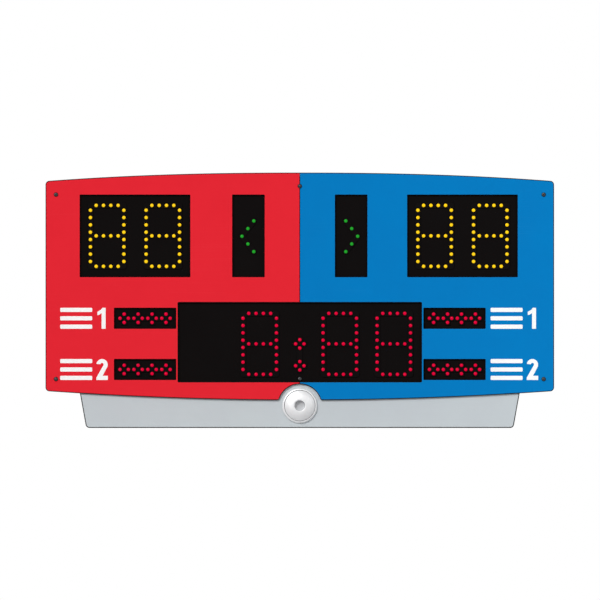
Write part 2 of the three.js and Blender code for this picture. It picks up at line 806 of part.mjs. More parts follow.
// The handle, with its pivot line along X through zero and its grip hanging below
function handlePath() {
  const endX = handleHalfSpan + handleBend + bracketGap + bracketWide + handleEnd;
  const corners = [
    [-endX, 0], [-handleHalfSpan, 0], [-handleHalfSpan, -handleDrop],
    [handleHalfSpan, -handleDrop], [handleHalfSpan, 0], [endX, 0],
  ].map(([x, z]) => new THREE.Vector3(x, 0, z));
  const path = new THREE.CurvePath();
  let start = corners[0];
  for (let k = 1; k < corners.length - 1; k += 1) {
    const before = corners[k - 1].clone().sub(corners[k]).setLength(handleBend).add(corners[k]);
    const after = corners[k + 1].clone().sub(corners[k]).setLength(handleBend).add(corners[k]);
    path.add(new THREE.LineCurve3(start, before));
    path.add(new THREE.QuadraticBezierCurve3(before, corners[k], after));
    start = after;
  }
  path.add(new THREE.LineCurve3(start, corners[corners.length - 1]));
  return path;
}

function handle() {
  const ring = arc(0, 0, handleRadius, 0, 2 * Math.PI, handleSides).slice(1);
  const shape = new THREE.Shape(ring.map(([x, y]) => new THREE.Vector2(x, y)));
  return toSolid(new THREE.ExtrudeGeometry(shape, {
    steps: handleSteps, extrudePath: handlePath(), bevelEnabled: false,
  }));
}

function ringAcross(radius, innerRadius, y, z, halfLong) {
  const outer = new THREE.CylinderGeometry(radius, radius, 2 * halfLong, roundSides);
  const inner = new THREE.CylinderGeometry(
    innerRadius, innerRadius, 2 * (halfLong + overrun), roundSides);
  return cut(
    toSolid(outer.rotateZ(Math.PI / 2).translate(0, y, z)),
    toSolid(inner.rotateZ(Math.PI / 2).translate(0, y, z)));
}

function handleGrip() {
  const bored = (handleRadius + fitGap) / Math.cos(Math.PI / roundSides);
  return ringAcross(bored + gripWall, bored, 0, -handleDrop, gripHalf);
}

// A bracket with y = 0 on the pivot line
function handleBracket() {
  const nose = arc(0, 0, bracketTall / 2, -Math.PI / 2, Math.PI / 2, bracketSteps);
  const body = sidePlate(
    [[-handleReach, -bracketTall / 2], ...nose, [-handleReach, bracketTall / 2]], bracketWide);
  const bored = (handleRadius + fitGap) / Math.cos(Math.PI / roundSides);
  const hole = new THREE.CylinderGeometry(bored, bored, bracketWide + 2 * overrun, roundSides);
  return cut(body, toSolid(hole.rotateZ(Math.PI / 2)));
}

// The scene
const scoreboard = new THREE.Group();

function place(name, solid, material, x = 0, y = 0, z = 0, parent = scoreboard) {
  const mesh = new THREE.Mesh(toGeometry(solid), material);
  mesh.name = name;
  mesh.position.set(x, y, z);
  parent.add(mesh);
  return mesh;
}

function addFront() {
  place("panel_red", frontPanel(-1), redPaint);
  place("panel_blue", frontPanel(1), bluePaint);
  place("display_board_left", displayBoard(boards.left, -sideHeaderX, sideHeaderZ, true), blackBoard);
  place("display_board_right", displayBoard(boards.right, sideHeaderX, sideHeaderZ, true), blackBoard);
  place("display_board_lower", displayBoard(boards.lower, 0, middleHeaderZ, false), blackBoard);
  for (const { name, x, z, seatY } of panelScrews) {
    place(name, screw(), blackSteel, x, seatY, z);
  }
}

function addLamps() {
  const half = scoreDigitGap / 2;
  place("digit_left_tens", digit(), yellowLamp, leftScoreX - half, panelBackY, scoreZ);
  place("digit_left_units", digit(), yellowLamp, leftScoreX + half, panelBackY, scoreZ);
  place("digit_right_tens", digit(), yellowLamp, rightScoreX - half, panelBackY, scoreZ);
  place("digit_right_units", digit(), yellowLamp, rightScoreX + half, panelBackY, scoreZ);
  place("arrow_left", arrow(-1), greenLamp, -arrowX - arrowOffset, panelBackY, arrowZ);
  place("arrow_right", arrow(1), greenLamp, arrowX + arrowOffset, panelBackY, arrowZ);
  place("clock_minutes", digit(), redLamp, minutesX, panelBackY, clockZ);
  place("clock_colon", colon(), redLamp, 0, panelBackY, clockZ);
  place("clock_tens", digit(), redLamp, tensX, panelBackY, clockZ);
  place("clock_seconds", digit(), redLamp, secondsX, panelBackY, clockZ);
  place("category_left_upper", categoryRow(), redLamp, -categoryX, panelBackY, categoryUpperZ);
  place("category_left_lower", categoryRow(), redLamp, -categoryX, panelBackY, categoryLowerZ);
  place("category_right_upper", categoryRow(), redLamp, categoryX, panelBackY, categoryUpperZ);
  place("category_right_lower", categoryRow(), redLamp, categoryX, panelBackY, categoryLowerZ);
}

function addCase() {
  place("case_shell", caseShell(), greyPaint);
  place("rear_cover", rearCover(), greyPaint);
  for (const { name, x, z } of coverScrews) {
    place(name, screw(), blackSteel, x, coverY, z).rotation.z = Math.PI;
  }
}

function addSounder() {
  place("sounder_body", sounderBody(), whitePlastic, 0, panelBackY, sounderZ);
  place("sounder_cap", sounderCap(), whitePlastic, 0, panelBackY, sounderZ);
  place("sounder_element", sounderElement(), brass, 0, panelBackY, sounderZ);
  place("sounder_nut", sounderNut(), steel, 0, panelBackY, sounderZ);
}

function addElectronics() {
  place("control_board", controlBoard(), greenBoard);
  place("power_supply", powerSupply(), steel);
  const section = ribbonSection();
  const upright = plate(section.map(([y, bulge]) => [bulge, -y]), -ribbonWide / 2, ribbonWide / 2);
  const sideRibbon = toGeometry(upright).rotateX(Math.PI / 2);
  place("ribbon_left", toSolid(sideRibbon), greyRibbon, -sideHeaderX, 0, sideHeaderZ);
  place("ribbon_right", toSolid(sideRibbon), greyRibbon, sideHeaderX, 0, sideHeaderZ);
  place("ribbon_lower", sidePlate(section, ribbonWide), greyRibbon, 0, 0, middleHeaderZ);
}

function addLeads() {
  const inletBackY = coverY - inletDeep - fitGap;
  const switchBackY = coverY - switchDeep - fitGap;
  const supplyLowZ = supplyZ - supplyTall / 2 - fitGap;
  const supplyRightX = supplyX + supplyLong / 2 + fitGap;
  const supplyMiddleY = rearY - supplyDeep / 2;
  const sounderBackY = panelBackY + sounderBarrelLong + fitGap;
  const plugLowZ = controlBottomZ - fitGap;
  const terminal = switchTall / 4;
  const forward = [0, -leadShortBend, 0];
  place("lead_inlet", lead(
    [inletX, inletBackY, footZ], forward,
    [switchX, switchBackY, footZ - terminal], forward), blackRubber);
  place("lead_switch", lead(
    [switchX, switchBackY, footZ + terminal], forward,
    [switchX, supplyMiddleY, supplyLowZ], [0, 0, -leadShortBend]), blackRubber);
  place("lead_supply", lead(
    [supplyRightX, supplyMiddleY, supplyZ], [leadShortBend, 0, 0],
    [powerPlugX, plugY, powerPlugZ - plugTall / 2 - fitGap], [0, 0, -leadBend]), blackRubber);
  place("lead_sounder", lead(
    [0, sounderBackY, sounderZ], [0, leadBend, 0],
    [sounderPlugX, plugY, plugLowZ], [0, 0, -leadLongBend]), blackRubber);
  for (const { lead: name, x, plugX } of sockets) {
    place(name, lead(
      [x, coverY - socketDeep - fitGap, footZ], [0, -leadBend, 0],
      [plugX, plugY, plugLowZ], [0, 0, -leadLongBend]), blackRubber);
  }
}

function addFoot() {
  place("power_inlet", inlet(), blackPlastic, inletX, coverY, footZ);
  place("switch_frame", switchFrame(), blackPlastic, switchX, coverY, footZ);
  const lever = place("switch_rocker", rocker(), blackPlastic, switchX, coverY + rockerPivotY, footZ);
  lever.rotation.x = -rockerTilt;
  for (const { name, x } of sockets) {
    place(name, socket(), steel, x, coverY, footZ);
  }
}

function addHandle() {
  const pivot = new THREE.Group();
  pivot.position.set(0, coverY + handleReach, handleZ);
  scoreboard.add(pivot);
  const bracketX = handleHalfSpan + handleBend + bracketGap + bracketWide / 2;
  place("carry_handle", handle(), steel, 0, 0, 0, pivot);
  place("handle_grip", handleGrip(), blackRubber, 0, 0, 0, pivot);
  place("handle_bracket_left", handleBracket(), blackSteel, -bracketX, 0, 0, pivot);
  place("handle_bracket_right", handleBracket(), blackSteel, bracketX, 0, 0, pivot);
}

addFront();
addLamps();
addCase();
addSounder();
addElectronics();
addLeads();
addFoot();
addHandle();

export default scoreboard;
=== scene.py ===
import math

import bmesh
import bpy
from mathutils import Matrix, Vector
from mathutils.geometry import tessellate_polygon


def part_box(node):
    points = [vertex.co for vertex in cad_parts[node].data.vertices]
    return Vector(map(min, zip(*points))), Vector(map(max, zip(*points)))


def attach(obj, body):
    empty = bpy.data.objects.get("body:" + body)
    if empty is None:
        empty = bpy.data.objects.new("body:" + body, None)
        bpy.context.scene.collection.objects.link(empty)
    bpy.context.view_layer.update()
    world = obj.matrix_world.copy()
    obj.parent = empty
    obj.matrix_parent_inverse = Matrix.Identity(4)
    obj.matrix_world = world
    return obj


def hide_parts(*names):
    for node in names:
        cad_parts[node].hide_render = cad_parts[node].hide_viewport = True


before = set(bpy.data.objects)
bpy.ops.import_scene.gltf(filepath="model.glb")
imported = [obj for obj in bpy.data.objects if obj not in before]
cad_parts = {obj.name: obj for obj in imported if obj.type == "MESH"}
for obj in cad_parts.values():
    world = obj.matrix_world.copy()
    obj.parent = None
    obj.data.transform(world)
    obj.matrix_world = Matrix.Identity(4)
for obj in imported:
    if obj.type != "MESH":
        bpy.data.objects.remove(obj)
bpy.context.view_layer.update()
scene = bpy.context.scene

# Everything is in metres: X to the right, -Y to the front, Z up from the base


# Camera, floor and light

shot = {
    "width": 0.75,  # metres across the picture
    "middle": (0.00024, 0.15995),  # x and z
    "distance": 3.0,
}

studio = {
    "skyAim": (-0.50, -0.58, 0.64),  # towards the bright side of the studio
    "skyLow": 0.03,
    "skyHigh": 0.66,
    "skyPower": 2.3,  # how fast it darkens away from there
    "backdropLevel": 1.0,  # what the camera itself sees
    "sunPower": 1.93,
    "sunAngle": 16.0,
    "sunPlace": (-1.35, -2.2, 1.75),
    "floorSize": 40.0,
    "floorTone": 0.54,
    "aim": (0.0, 0.0, 0.16),
    "lights": [  # name, power, size, place
        ("fill", 20.0, 2.4, (2.4, -2.2, 1.2)),
        ("back", 70.0, 1.8, (1.6, 2.4, 1.9)),
    ],
}


def addObject(name, data):
    made = bpy.data.objects.new(name, data)
    scene.collection.objects.link(made)
    return made


def addNode(tree, kind, inputs=None, **settings):
    node = tree.nodes.new(kind)
    for key, value in settings.items():
        setattr(node, key, value)
    for key, value in (inputs or {}).items():
        if isinstance(value, bpy.types.NodeSocket):
            tree.links.new(value, node.inputs[key])
        else:
            node.inputs[key].default_value = value
    return node


# The first output of a new node
def outputOf(tree, kind, inputs=None, **settings):
    return addNode(tree, kind, inputs, **settings).outputs[0]


def calculate(tree, operation, first, second=0.0):
    return outputOf(tree, "ShaderNodeMath", {0: first, 1: second}, operation=operation)


def ranged(tree, value, fromLow, fromHigh, low=0.0, high=1.0):
    return outputOf(tree, "ShaderNodeMapRange", {
        "Value": value, "From Min": fromLow, "From Max": fromHigh, "To Min": low, "To Max": high})


def makeCamera():
    lens = bpy.data.cameras.new("camera")
    lens.type = "ORTHO"
    lens.ortho_scale = shot["width"]
    camera = addObject("camera", lens)
    camera.location = (shot["middle"][0], -shot["distance"], shot["middle"][1])
    camera.rotation_euler = (math.radians(90), 0, 0)
    scene.camera = camera


def makeSky():
    world = bpy.data.worlds.new("studio")
    scene.world = world
    world.use_nodes = True
    tree = world.node_tree
    way = addNode(tree, "ShaderNodeTexCoord").outputs["Generated"]
    facing = addNode(tree, "ShaderNodeVectorMath", {
        0: way, 1: Vector(studio["skyAim"]).normalized()}, operation="DOT_PRODUCT")
    towards = ranged(tree, facing.outputs["Value"], -1.0, 1.0)
    share = calculate(tree, "POWER", towards, studio["skyPower"])
    sky = ranged(tree, share, 0.0, 1.0, studio["skyLow"], studio["skyHigh"])
    seen = addNode(tree, "ShaderNodeLightPath").outputs["Is Camera Ray"]
    level = outputOf(tree, "ShaderNodeMix", {0: seen, 2: sky, 3: studio["backdropLevel"]})
    background = tree.nodes["Background"]
    background.inputs["Color"].default_value = (1, 1, 1, 1)
    tree.links.new(level, background.inputs["Strength"])


def makeLight(name, kind, power, place):
    lamp = bpy.data.lights.new(name, kind)
    lamp.energy = power
    light = addObject(name, lamp)
    light.location = place
    aim = Vector(studio["aim"]) - light.location
    light.rotation_euler = aim.to_track_quat("-Z", "Y").to_euler()
    return lamp


def makeLights():
    sun = makeLight("key", "SUN", studio["sunPower"], studio["sunPlace"])
    sun.angle = math.radians(studio["sunAngle"])
    for name, power, size, place in studio["lights"]:
        lamp = makeLight(name, "AREA", power, place)
        lamp.shape = "DISK"
        lamp.size = size


def makeFloor():
    half = studio["floorSize"] / 2
    corners = [(-half, -half, 0), (half, -half, 0), (half, half, 0), (-half, half, 0)]
    mesh = bpy.data.meshes.new("floor")
    mesh.from_pydata(corners, [], [(0, 1, 2, 3)])
    paper = bpy.data.materials.new("pale floor")
    paper.use_nodes = True
    shader = paper.node_tree.nodes["Principled BSDF"]
    tone = studio["floorTone"]
    shader.inputs["Base Color"].default_value = (tone, tone, tone, 1)
    shader.inputs["Roughness"].default_value = 0.9
    shader.inputs["Specular IOR Level"].default_value = 0.1
    mesh.materials.append(paper)
    addObject("floor", mesh)


makeCamera()
makeSky()
makeLights()
makeFloor()
scene.view_settings.view_transform = "Standard"
print("camera, floor and light are in place")


# Effects that several materials share, as shader node groups

def newGroup(name, inputs, outputs):
    tree = bpy.data.node_groups.new(name, "ShaderNodeTree")
    for label, value in inputs.items():
        socket = tree.interface.new_socket(
            name=label, in_out="INPUT", socket_type="NodeSocketFloat")
        socket.default_value = value
    for label in outputs:
        tree.interface.new_socket(name=label, in_out="OUTPUT", socket_type="NodeSocketFloat")
    given = addNode(tree, "NodeGroupInput").outputs
    result = addNode(tree, "NodeGroupOutput").inputs
    return tree, given, result


# The place on the piece in metres, which the patterns follow
def pieceSpot(tree):
    return addNode(tree, "ShaderNodeTexCoord").outputs["Object"]


def noise(tree, spot, scale, detail=2.0, rough=0.5):
    return addNode(tree, "ShaderNodeTexNoise", {
        "Vector": spot, "Scale": scale, "Detail": detail, "Roughness": rough}).outputs["Fac"]


def carried(tree, label):
    return addNode(tree, "ShaderNodeAttribute", attribute_name=label).outputs["Fac"]


# Fine relief of a moulded, sprayed or printed face, and a broad tone that clouds it
def makeGrain():
    tree, given, result = newGroup("grain", {"Size": 0.0005, "Cloud": 0.05}, ["Height", "Tone"])
    spot = pieceSpot(tree)
    scale = calculate(tree, "DIVIDE", 1.0, given["Size"])
    cells = addNode(tree, "ShaderNodeTexVoronoi", {
        "Vector": spot, "Scale": scale}, feature="SMOOTH_F1").outputs["Distance"]
    fine = noise(tree, spot, scale, rough=0.6)
    height = calculate(tree, "MULTIPLY", calculate(tree, "ADD", fine, cells), 0.5)
    tree.links.new(height, result["Height"])
    broad = calculate(tree, "DIVIDE", 1.0, given["Cloud"])
    tone = ranged(tree, noise(tree, spot, broad, detail=5.0, rough=0.6), 0.3, 0.7)
    tree.links.new(tone, result["Tone"])
    return tree


# Fine straight scuffs in two directions
def makeScuffs():
    tree, given, result = newGroup("scuffs", {"Amount": 0.3}, ["Mask"])
    spot = pieceSpot(tree)
    lines = []
    for turn, stretch in ((0.5, 1400.0), (-0.9, 1100.0)):
        slanted = outputOf(tree, "ShaderNodeMapping", {
            "Vector": spot, "Rotation": (0, turn, 0), "Scale": (9.0, 60.0, stretch)})
        lines.append(ranged(tree, noise(tree, slanted, 1.0, detail=0.0), 0.72, 0.78))
    patches = ranged(tree, noise(tree, spot, 14.0, detail=1.0), 0.5, 0.68)
    mask = calculate(tree, "MULTIPLY", calculate(tree, "MAXIMUM", *lines), patches)
    tree.links.new(calculate(tree, "MULTIPLY", mask, given["Amount"]), result["Mask"])
    return tree


# Rubbed edges, and on the case edges darkened to near black as painted shade: the mesh marks them
# in its edge attribute
def makeEdgeWearAndShade():
    tree, given, result = newGroup("edge wear", {"Amount": 0.4, "Size": 0.004}, ["Mask"])
    spot = pieceSpot(tree)
    edge = carried(tree, "edge")
    scale = calculate(tree, "DIVIDE", 1.0, given["Size"])
    rubAndShade = noise(tree, spot, scale, detail=4.0, rough=0.7)
    level = calculate(tree, "SUBTRACT", 0.75, calculate(tree, "MULTIPLY", given["Amount"], 0.4))
    bareAndShaded = calculate(tree, "GREATER_THAN", rubAndShade, level)
    tree.links.new(calculate(tree, "MULTIPLY", bareAndShaded, edge), result["Mask"])
    return tree


# Dust that lies on what faces up
def makeDust():
    tree, given, result = newGroup("dust", {"Amount": 0.3}, ["Mask"])
    spot = pieceSpot(tree)
    normal = addNode(tree, "ShaderNodeNewGeometry").outputs["Normal"]
    up = addNode(tree, "ShaderNodeSeparateXYZ", {"Vector": normal}).outputs["Z"]
    patches = noise(tree, spot, 90.0, detail=5.0, rough=0.7)
    film = ranged(tree, patches, 0.35, 0.75, low=0.3)
    mask = calculate(tree, "MULTIPLY", ranged(tree, up, 0.3, 0.95), film)
    tree.links.new(calculate(tree, "MULTIPLY", mask, given["Amount"]), result["Mask"])
    return tree


effects = {"grain": makeGrain(), "scuffs": makeScuffs(), "wear": makeEdgeWearAndShade(), "dust": makeDust()}
print("shared shader effects:", ", ".join(effects))


# Materials

def ink(red, green, blue):
    def linear(value):
        share = value / 255
        return share / 12.92 if share <= 0.04045 else ((share + 0.055) / 1.055) ** 2.4
    return (linear(red), linear(green), linear(blue), 1.0)


def newMaterial(name):
    material = bpy.data.materials.new(name)
    material.use_nodes = True
    tree = material.node_tree
    return material, tree, tree.nodes["Principled BSDF"]


def effect(tree, name, **inputs):
    group = addNode(tree, "ShaderNodeGroup", node_tree=effects[name])
    for label, value in inputs.items():
        group.inputs[label].default_value = value
    return group.outputs


def mixed(tree, factor, first, second):
    node = addNode(tree, "ShaderNodeMix", {0: factor, 6: first, 7: second}, data_type="RGBA")
    return node.outputs[2]


# Joins tone, gloss and relief to the shader
def paint(tree, shader, tone, gloss, height, depth):
    normal = outputOf(tree, "ShaderNodeBump", {"Height": height, "Distance": depth})
    for label, value in (("Base Color", tone), ("Roughness", gloss), ("Normal", normal)):
        tree.links.new(value, shader.inputs[label])


# What all finishes share: how far the gloss varies, and how much duller scuffs and dust make it
aging = {
    "glossSpread": 0.05,
    "scuffDulling": 0.3,
    "dustDulling": 0.4,
    "dustTone": ink(206, 202, 194),
}

# colour, cloud: the two tones of the face; then the edge tone: what shows where an edge is rubbed,
# and on the case plastic a near black that paints shade along its edges
finishes = {
    "red print": dict(
        colour=ink(228, 38, 51), cloud=ink(225, 36, 49), roughness=0.45, specular=0.045,
        grain=0.0011, depth=0.00001, scuffs=0.05, scuffTone=ink(240, 92, 96), dust=0.25),
    "blue print": dict(
        colour=ink(0, 122, 191), cloud=ink(0, 119, 188), roughness=0.45, specular=0.045,
        grain=0.0011, depth=0.00001, scuffs=0.05, scuffTone=ink(70, 160, 212), dust=0.25),
    # Near black on the sides and bevels of the panels: painted shade along their edges and the
    # seam, with lighter rubbed spots
    "panel edge black as painted shade": dict(
        colour=ink(12, 11, 12), cloud=ink(20, 19, 20), roughness=0.7, specular=0.06,
        grain=0.0003, depth=0.00002, wear=0.1, rubAndShadeTone=ink(60, 58, 58)),
    "white print": dict(
        colour=ink(252, 252, 252), cloud=ink(244, 244, 243), roughness=0.5, specular=0.2,
        grain=0.0009, depth=0.00001, scuffs=0.12, scuffTone=ink(214, 210, 208)),
    # Its near-black edge tone and high edge amount paint shade along the case's rounded edges; the
    # rest is its own grey
    "case plastic": dict(
        colour=ink(195, 202, 205), cloud=ink(192, 198, 202), roughness=0.5, specular=0.15,
        grain=0.0006, depth=0.00003, wear=1.5, rubAndShadeTone=ink(40, 41, 42), scuffs=0.1,
        scuffTone=ink(166, 171, 174), dust=0.3),
    "cover coat": dict(
        colour=ink(176, 181, 184), cloud=ink(168, 173, 177), roughness=0.5, specular=0.35,
        grain=0.0009, depth=0.00005, wear=0.3, rubAndShadeTone=ink(120, 122, 124), scuffs=0.2,
        scuffTone=ink(146, 150, 152), dust=0.2),
    "board black": dict(
        colour=ink(13, 10, 10), cloud=ink(15, 12, 12), roughness=0.62, specular=0.03,
        grain=0.0004, depth=0.00001, scuffs=0.06, scuffTone=ink(34, 32, 32)),
    "strip black": dict(
        colour=ink(12, 9, 9), cloud=ink(15, 12, 12), roughness=0.55, specular=0.04,
        grain=0.0003, depth=0.00001),
    "black oxide": dict(
        colour=ink(38, 38, 40), cloud=ink(28, 28, 30), roughness=0.36, specular=0.5,
        metallic=0.6, grain=0.0004, depth=0.00001, wear=0.35, rubAndShadeTone=ink(150, 150, 152)),
    # The screws' crowns turn lighter grey through the edge marks: wear, and a painted highlight
    "oxide with worn crown and painted highlight": dict(
        colour=ink(16, 16, 18), cloud=ink(12, 12, 14), roughness=0.4, specular=0.2,
        metallic=0.7, grain=0.0004, depth=0.00001, wear=1.0, wearSize=0.0012,
        rubAndShadeTone=ink(84, 85, 87)),
    "plated steel": dict(
        colour=ink(196, 199, 202), cloud=ink(178, 181, 184), roughness=0.24, metallic=1.0,
        grain=0.0005, depth=0.000006, scuffs=0.3, scuffTone=ink(226, 228, 230)),
    "satin silver": dict(
        colour=ink(247, 248, 249), cloud=ink(244, 245, 246), roughness=0.5, specular=0.4,
        metallic=0.5, grain=0.0007, depth=0.000004, scuffs=0.05, scuffTone=ink(216, 216, 216)),
    # A darker silver for the dish and the recess round the cap: painted shade
    "dish silver with painted shade": dict(
        colour=ink(196, 198, 200), cloud=ink(190, 192, 194), roughness=0.5, specular=0.3,
        metallic=0.4, grain=0.0005, depth=0.000006),
    "brass": dict(
        colour=ink(196, 170, 104), cloud=ink(176, 148, 86), roughness=0.3, metallic=1.0,
        grain=0.0004, depth=0.000008),
    "black plastic": dict(
        colour=ink(30, 31, 33), cloud=ink(24, 25, 27), roughness=0.5, specular=0.4,
        grain=0.0005, depth=0.00003, wear=0.3, rubAndShadeTone=ink(70, 71, 74), dust=0.25),
    "black rubber": dict(
        colour=ink(32, 33, 35), cloud=ink(25, 26, 28), roughness=0.78, specular=0.3,
        grain=0.0007, depth=0.00005, scuffs=0.15, scuffTone=ink(74, 74, 76), dust=0.35),
    "galvanised": dict(
        colour=ink(176, 180, 183), cloud=ink(146, 151, 155), roughness=0.4, metallic=0.9,
        grain=0.004, depth=0.00001, dust=0.3),
}


def makeFinish(name, colour, cloud, roughness, grain, depth, specular=0.5, metallic=0.0,
               wear=0.0, wearSize=0.004, rubAndShadeTone=None, scuffs=0.0, scuffTone=None, dust=0.0):
    material, tree, shader = newMaterial(name)
    relief = effect(tree, "grain", Size=grain)
    tone = mixed(tree, relief["Tone"], colour, cloud)
    spread = aging["glossSpread"]
    gloss = ranged(tree, relief["Tone"], 0.0, 1.0, roughness - spread, roughness + spread)
    if scuffs:
        marks = effect(tree, "scuffs", Amount=scuffs)["Mask"]
        tone = mixed(tree, marks, tone, scuffTone)
        dulling = calculate(tree, "MULTIPLY", marks, aging["scuffDulling"])
        gloss = calculate(tree, "ADD", gloss, dulling)
    if wear:
        rubAndShade = effect(tree, "wear", Amount=wear, Size=wearSize)["Mask"]
        tone = mixed(tree, rubAndShade, tone, rubAndShadeTone)
    if dust:
        film = effect(tree, "dust", Amount=dust)["Mask"]
        tone = mixed(tree, film, tone, aging["dustTone"])
        dulling = calculate(tree, "MULTIPLY", film, aging["dustDulling"])
        gloss = calculate(tree, "ADD", gloss, dulling)
    paint(tree, shader, tone, gloss, relief["Height"], depth)
    shader.inputs["Specular IOR Level"].default_value = specular
    shader.inputs["Metallic"].default_value = metallic
    return material


lensLook = {
    "glow": 0.63,
    "crownRange": (0.15, 0.7),  # heights between which the crown's tone comes in
    "roughness": 0.22,
    "specular": 0.05,
    "grain": 0.0008,
    "depth": 0.00001,
    "tones": {  # glow at the crown, glow at the foot of the lamp, body of the lens
        "yellow lens": (ink(253, 208, 22), ink(200, 158, 10), ink(188, 152, 24)),
        "red lens": (ink(226, 0, 56), ink(156, 0, 34), ink(146, 4, 36)),
        "green lens": (ink(36, 164, 42), ink(16, 104, 24), ink(20, 106, 28)),
    },
}


def makeLens(name, crown, foot, body):
    material, tree, shader = newMaterial(name)
    relief = effect(tree, "grain", Size=lensLook["grain"])
    height = ranged(tree, carried(tree, "crown"), *lensLook["crownRange"])
    glow = mixed(tree, height, foot, crown)
    normal = outputOf(tree, "ShaderNodeBump", {
        "Height": relief["Height"], "Distance": lensLook["depth"]})
    tree.links.new(mixed(tree, relief["Tone"], glow, crown), shader.inputs["Emission Color"])
    tree.links.new(mixed(tree, relief["Tone"], body, foot), shader.inputs["Base Color"])
    tree.links.new(normal, shader.inputs["Normal"])
    shader.inputs["Emission Strength"].default_value = lensLook["glow"]
    shader.inputs["Roughness"].default_value = lensLook["roughness"]
    shader.inputs["Specular IOR Level"].default_value = lensLook["specular"]
    return material


circuitLook = {
    "green": (ink(24, 96, 54), ink(18, 82, 46)),
    "tracks": ink(58, 132, 76),
    "trackScale": 160.0,
    "roughness": (0.32, 0.44),
    "grain": 0.0006,
    "depth": 0.00003,
}


def makeCircuitBoard():
    material, tree, shader = newMaterial("circuit board")
    spot = pieceSpot(tree)
    upright = outputOf(tree, "ShaderNodeMapping", {
        "Vector": spot, "Rotation": (math.radians(90), 0, 0)})
    tracks = addNode(tree, "ShaderNodeTexBrick", {
        "Vector": upright, "Scale": circuitLook["trackScale"], "Mortar Size": 0.06,
        "Brick Width": 1.3, "Row Height": 0.4}).outputs["Fac"]
    relief = effect(tree, "grain", Size=circuitLook["grain"])
    green = mixed(tree, relief["Tone"], *circuitLook["green"])
    tone = mixed(tree, tracks, green, circuitLook["tracks"])
    gloss = ranged(tree, relief["Tone"], 0.0, 1.0, *circuitLook["roughness"])
    paint(tree, shader, tone, gloss, tracks, circuitLook["depth"])
    return material


ribbonLook = {
    "grey": (ink(160, 164, 168), ink(148, 152, 156)),
    "grooveShade": ink(112, 116, 120),
    "coreScale": 390.0,
    "roughness": (0.5, 0.6),
    "grain": 0.0006,
    "depth": 0.0003,
}


def makeRibbon():
    material, tree, shader = newMaterial("ribbon cable")
    spot = pieceSpot(tree)
    cores = addNode(tree, "ShaderNodeTexWave", {
        "Vector": spot, "Scale": ribbonLook["coreScale"], "Distortion": 0.0},
        bands_direction="X").outputs["Fac"]
    relief = effect(tree, "grain", Size=ribbonLook["grain"])
    grey = mixed(tree, relief["Tone"], *ribbonLook["grey"])
    # The grooves between the cores are painted darker: painted shade
    tone = mixed(tree, ranged(tree, cores, 0.0, 0.4), ribbonLook["grooveShade"], grey)
    gloss = ranged(tree, relief["Tone"], 0.0, 1.0, *ribbonLook["roughness"])
    paint(tree, shader, tone, gloss, cores, ribbonLook["depth"])
    return material


finish = {name: makeFinish(name, **look) for name, look in finishes.items()}
finish.update({name: makeLens(name, *tones) for name, tones in lensLook["tones"].items()})
finish["circuit board"] = makeCircuitBoard()
finish["ribbon cable"] = makeRibbon()
print("materials:", len(finish))


# Outlines are lists of (x, z) points as seen from the front

def arc(x, z, radius, start, end, steps):
    turns = [math.radians(start + (end - start) * k / steps) for k in range(steps + 1)]
    return [(x + radius * math.cos(turn), z + radius * math.sin(turn)) for turn in turns]


def circle(x, z, radius, sides):
    return arc(x, z, radius, 0, 360, sides)[:-1]


def roundedBox(x, z, width, height, radius, steps=5):
    wide, tall = width / 2 - radius, height / 2 - radius
    corners = [(1, 1), (-1, 1), (-1, -1), (1, -1)]
    return [point for k, (right, up) in enumerate(corners)
            for point in arc(x + right * wide, z + up * tall, radius, 90 * k, 90 * k + 90, steps)]


def mirrored(loop):
    return [(-x, z) for x, z in loop]


def shifted(loop, right, up):
    return [(x + right, z + up) for x, z in loop]


# A bend from the first point to the last, drawn towards the corner between them
def bendTo(first, corner, last, steps):
    a, b, c = Vector(first), Vector(corner), Vector(last)
    shares = [k / steps for k in range(steps + 1)]
    return [tuple(a * (1 - t) ** 2 + b * 2 * t * (1 - t) + c * t * t) for t in shares]


def centred(count, pitch):
    return [(k - (count - 1) / 2) * pitch for k in range(count)]


# Paths are lists of (inset, y) steps. A straight side, with a chamfer at its far end
def straight(start, end, chamfer=0.0):
    return [(0, start), (0, end - chamfer)] + ([(chamfer, end)] if chamfer else [])


# The steps of a rounded edge, as shares of its radius
coarseRound = [(1, 0), (0.3, 0.3), (0, 1)]
fineRound = [(1, 0), (0.5, 0.13), (0.13, 0.5), (0, 1)]


# A rounded edge at the front of a path, and one at its back
def frontRound(front, radius, shares=coarseRound):
    return [(inset * radius, front + depth * radius) for inset, depth in shares]


def backRound(back, radius):
    return [(inset * radius, back - depth * radius) for inset, depth in reversed(coarseRound)]


# Drops doubled points and turns the loop so that its solid side is on the left
def faced(loop, outer):
    kept = [point for k, point in enumerate(loop) if math.dist(point, loop[k - 1]) > 1e-6]
    area = sum(a[0] * b[1] - b[0] * a[1] for a, b in zip(kept, kept[1:] + kept[:1]))
    return kept if (area > 0) == outer else kept[::-1]


def inward(loop, distance):
    points = []
    for k, (x, z) in enumerate(loop):
        before, after = loop[k - 1], loop[(k + 1) % len(loop)]
        a = Vector((before[1] - z, x - before[0])).normalized()
        b = Vector((z - after[1], after[0] - x)).normalized()
        side = (a + b).normalized()
        reach = distance / side.dot(a)
        points.append((x + side.x * reach, z + side.y * reach))
    return points


# Meshes

def bridge(mesh, near, far, slotIndex=0):
    made = []
    for k in range(max(len(near), len(far))):
        corners = [near[(k - 1) % len(near)], near[k % len(near)],
                   far[k % len(far)], far[(k - 1) % len(far)]]
        face = mesh.faces.new(list(dict.fromkeys(corners)))
        face.smooth = True
        face.material_index = slotIndex
        made.append(face)
    return made
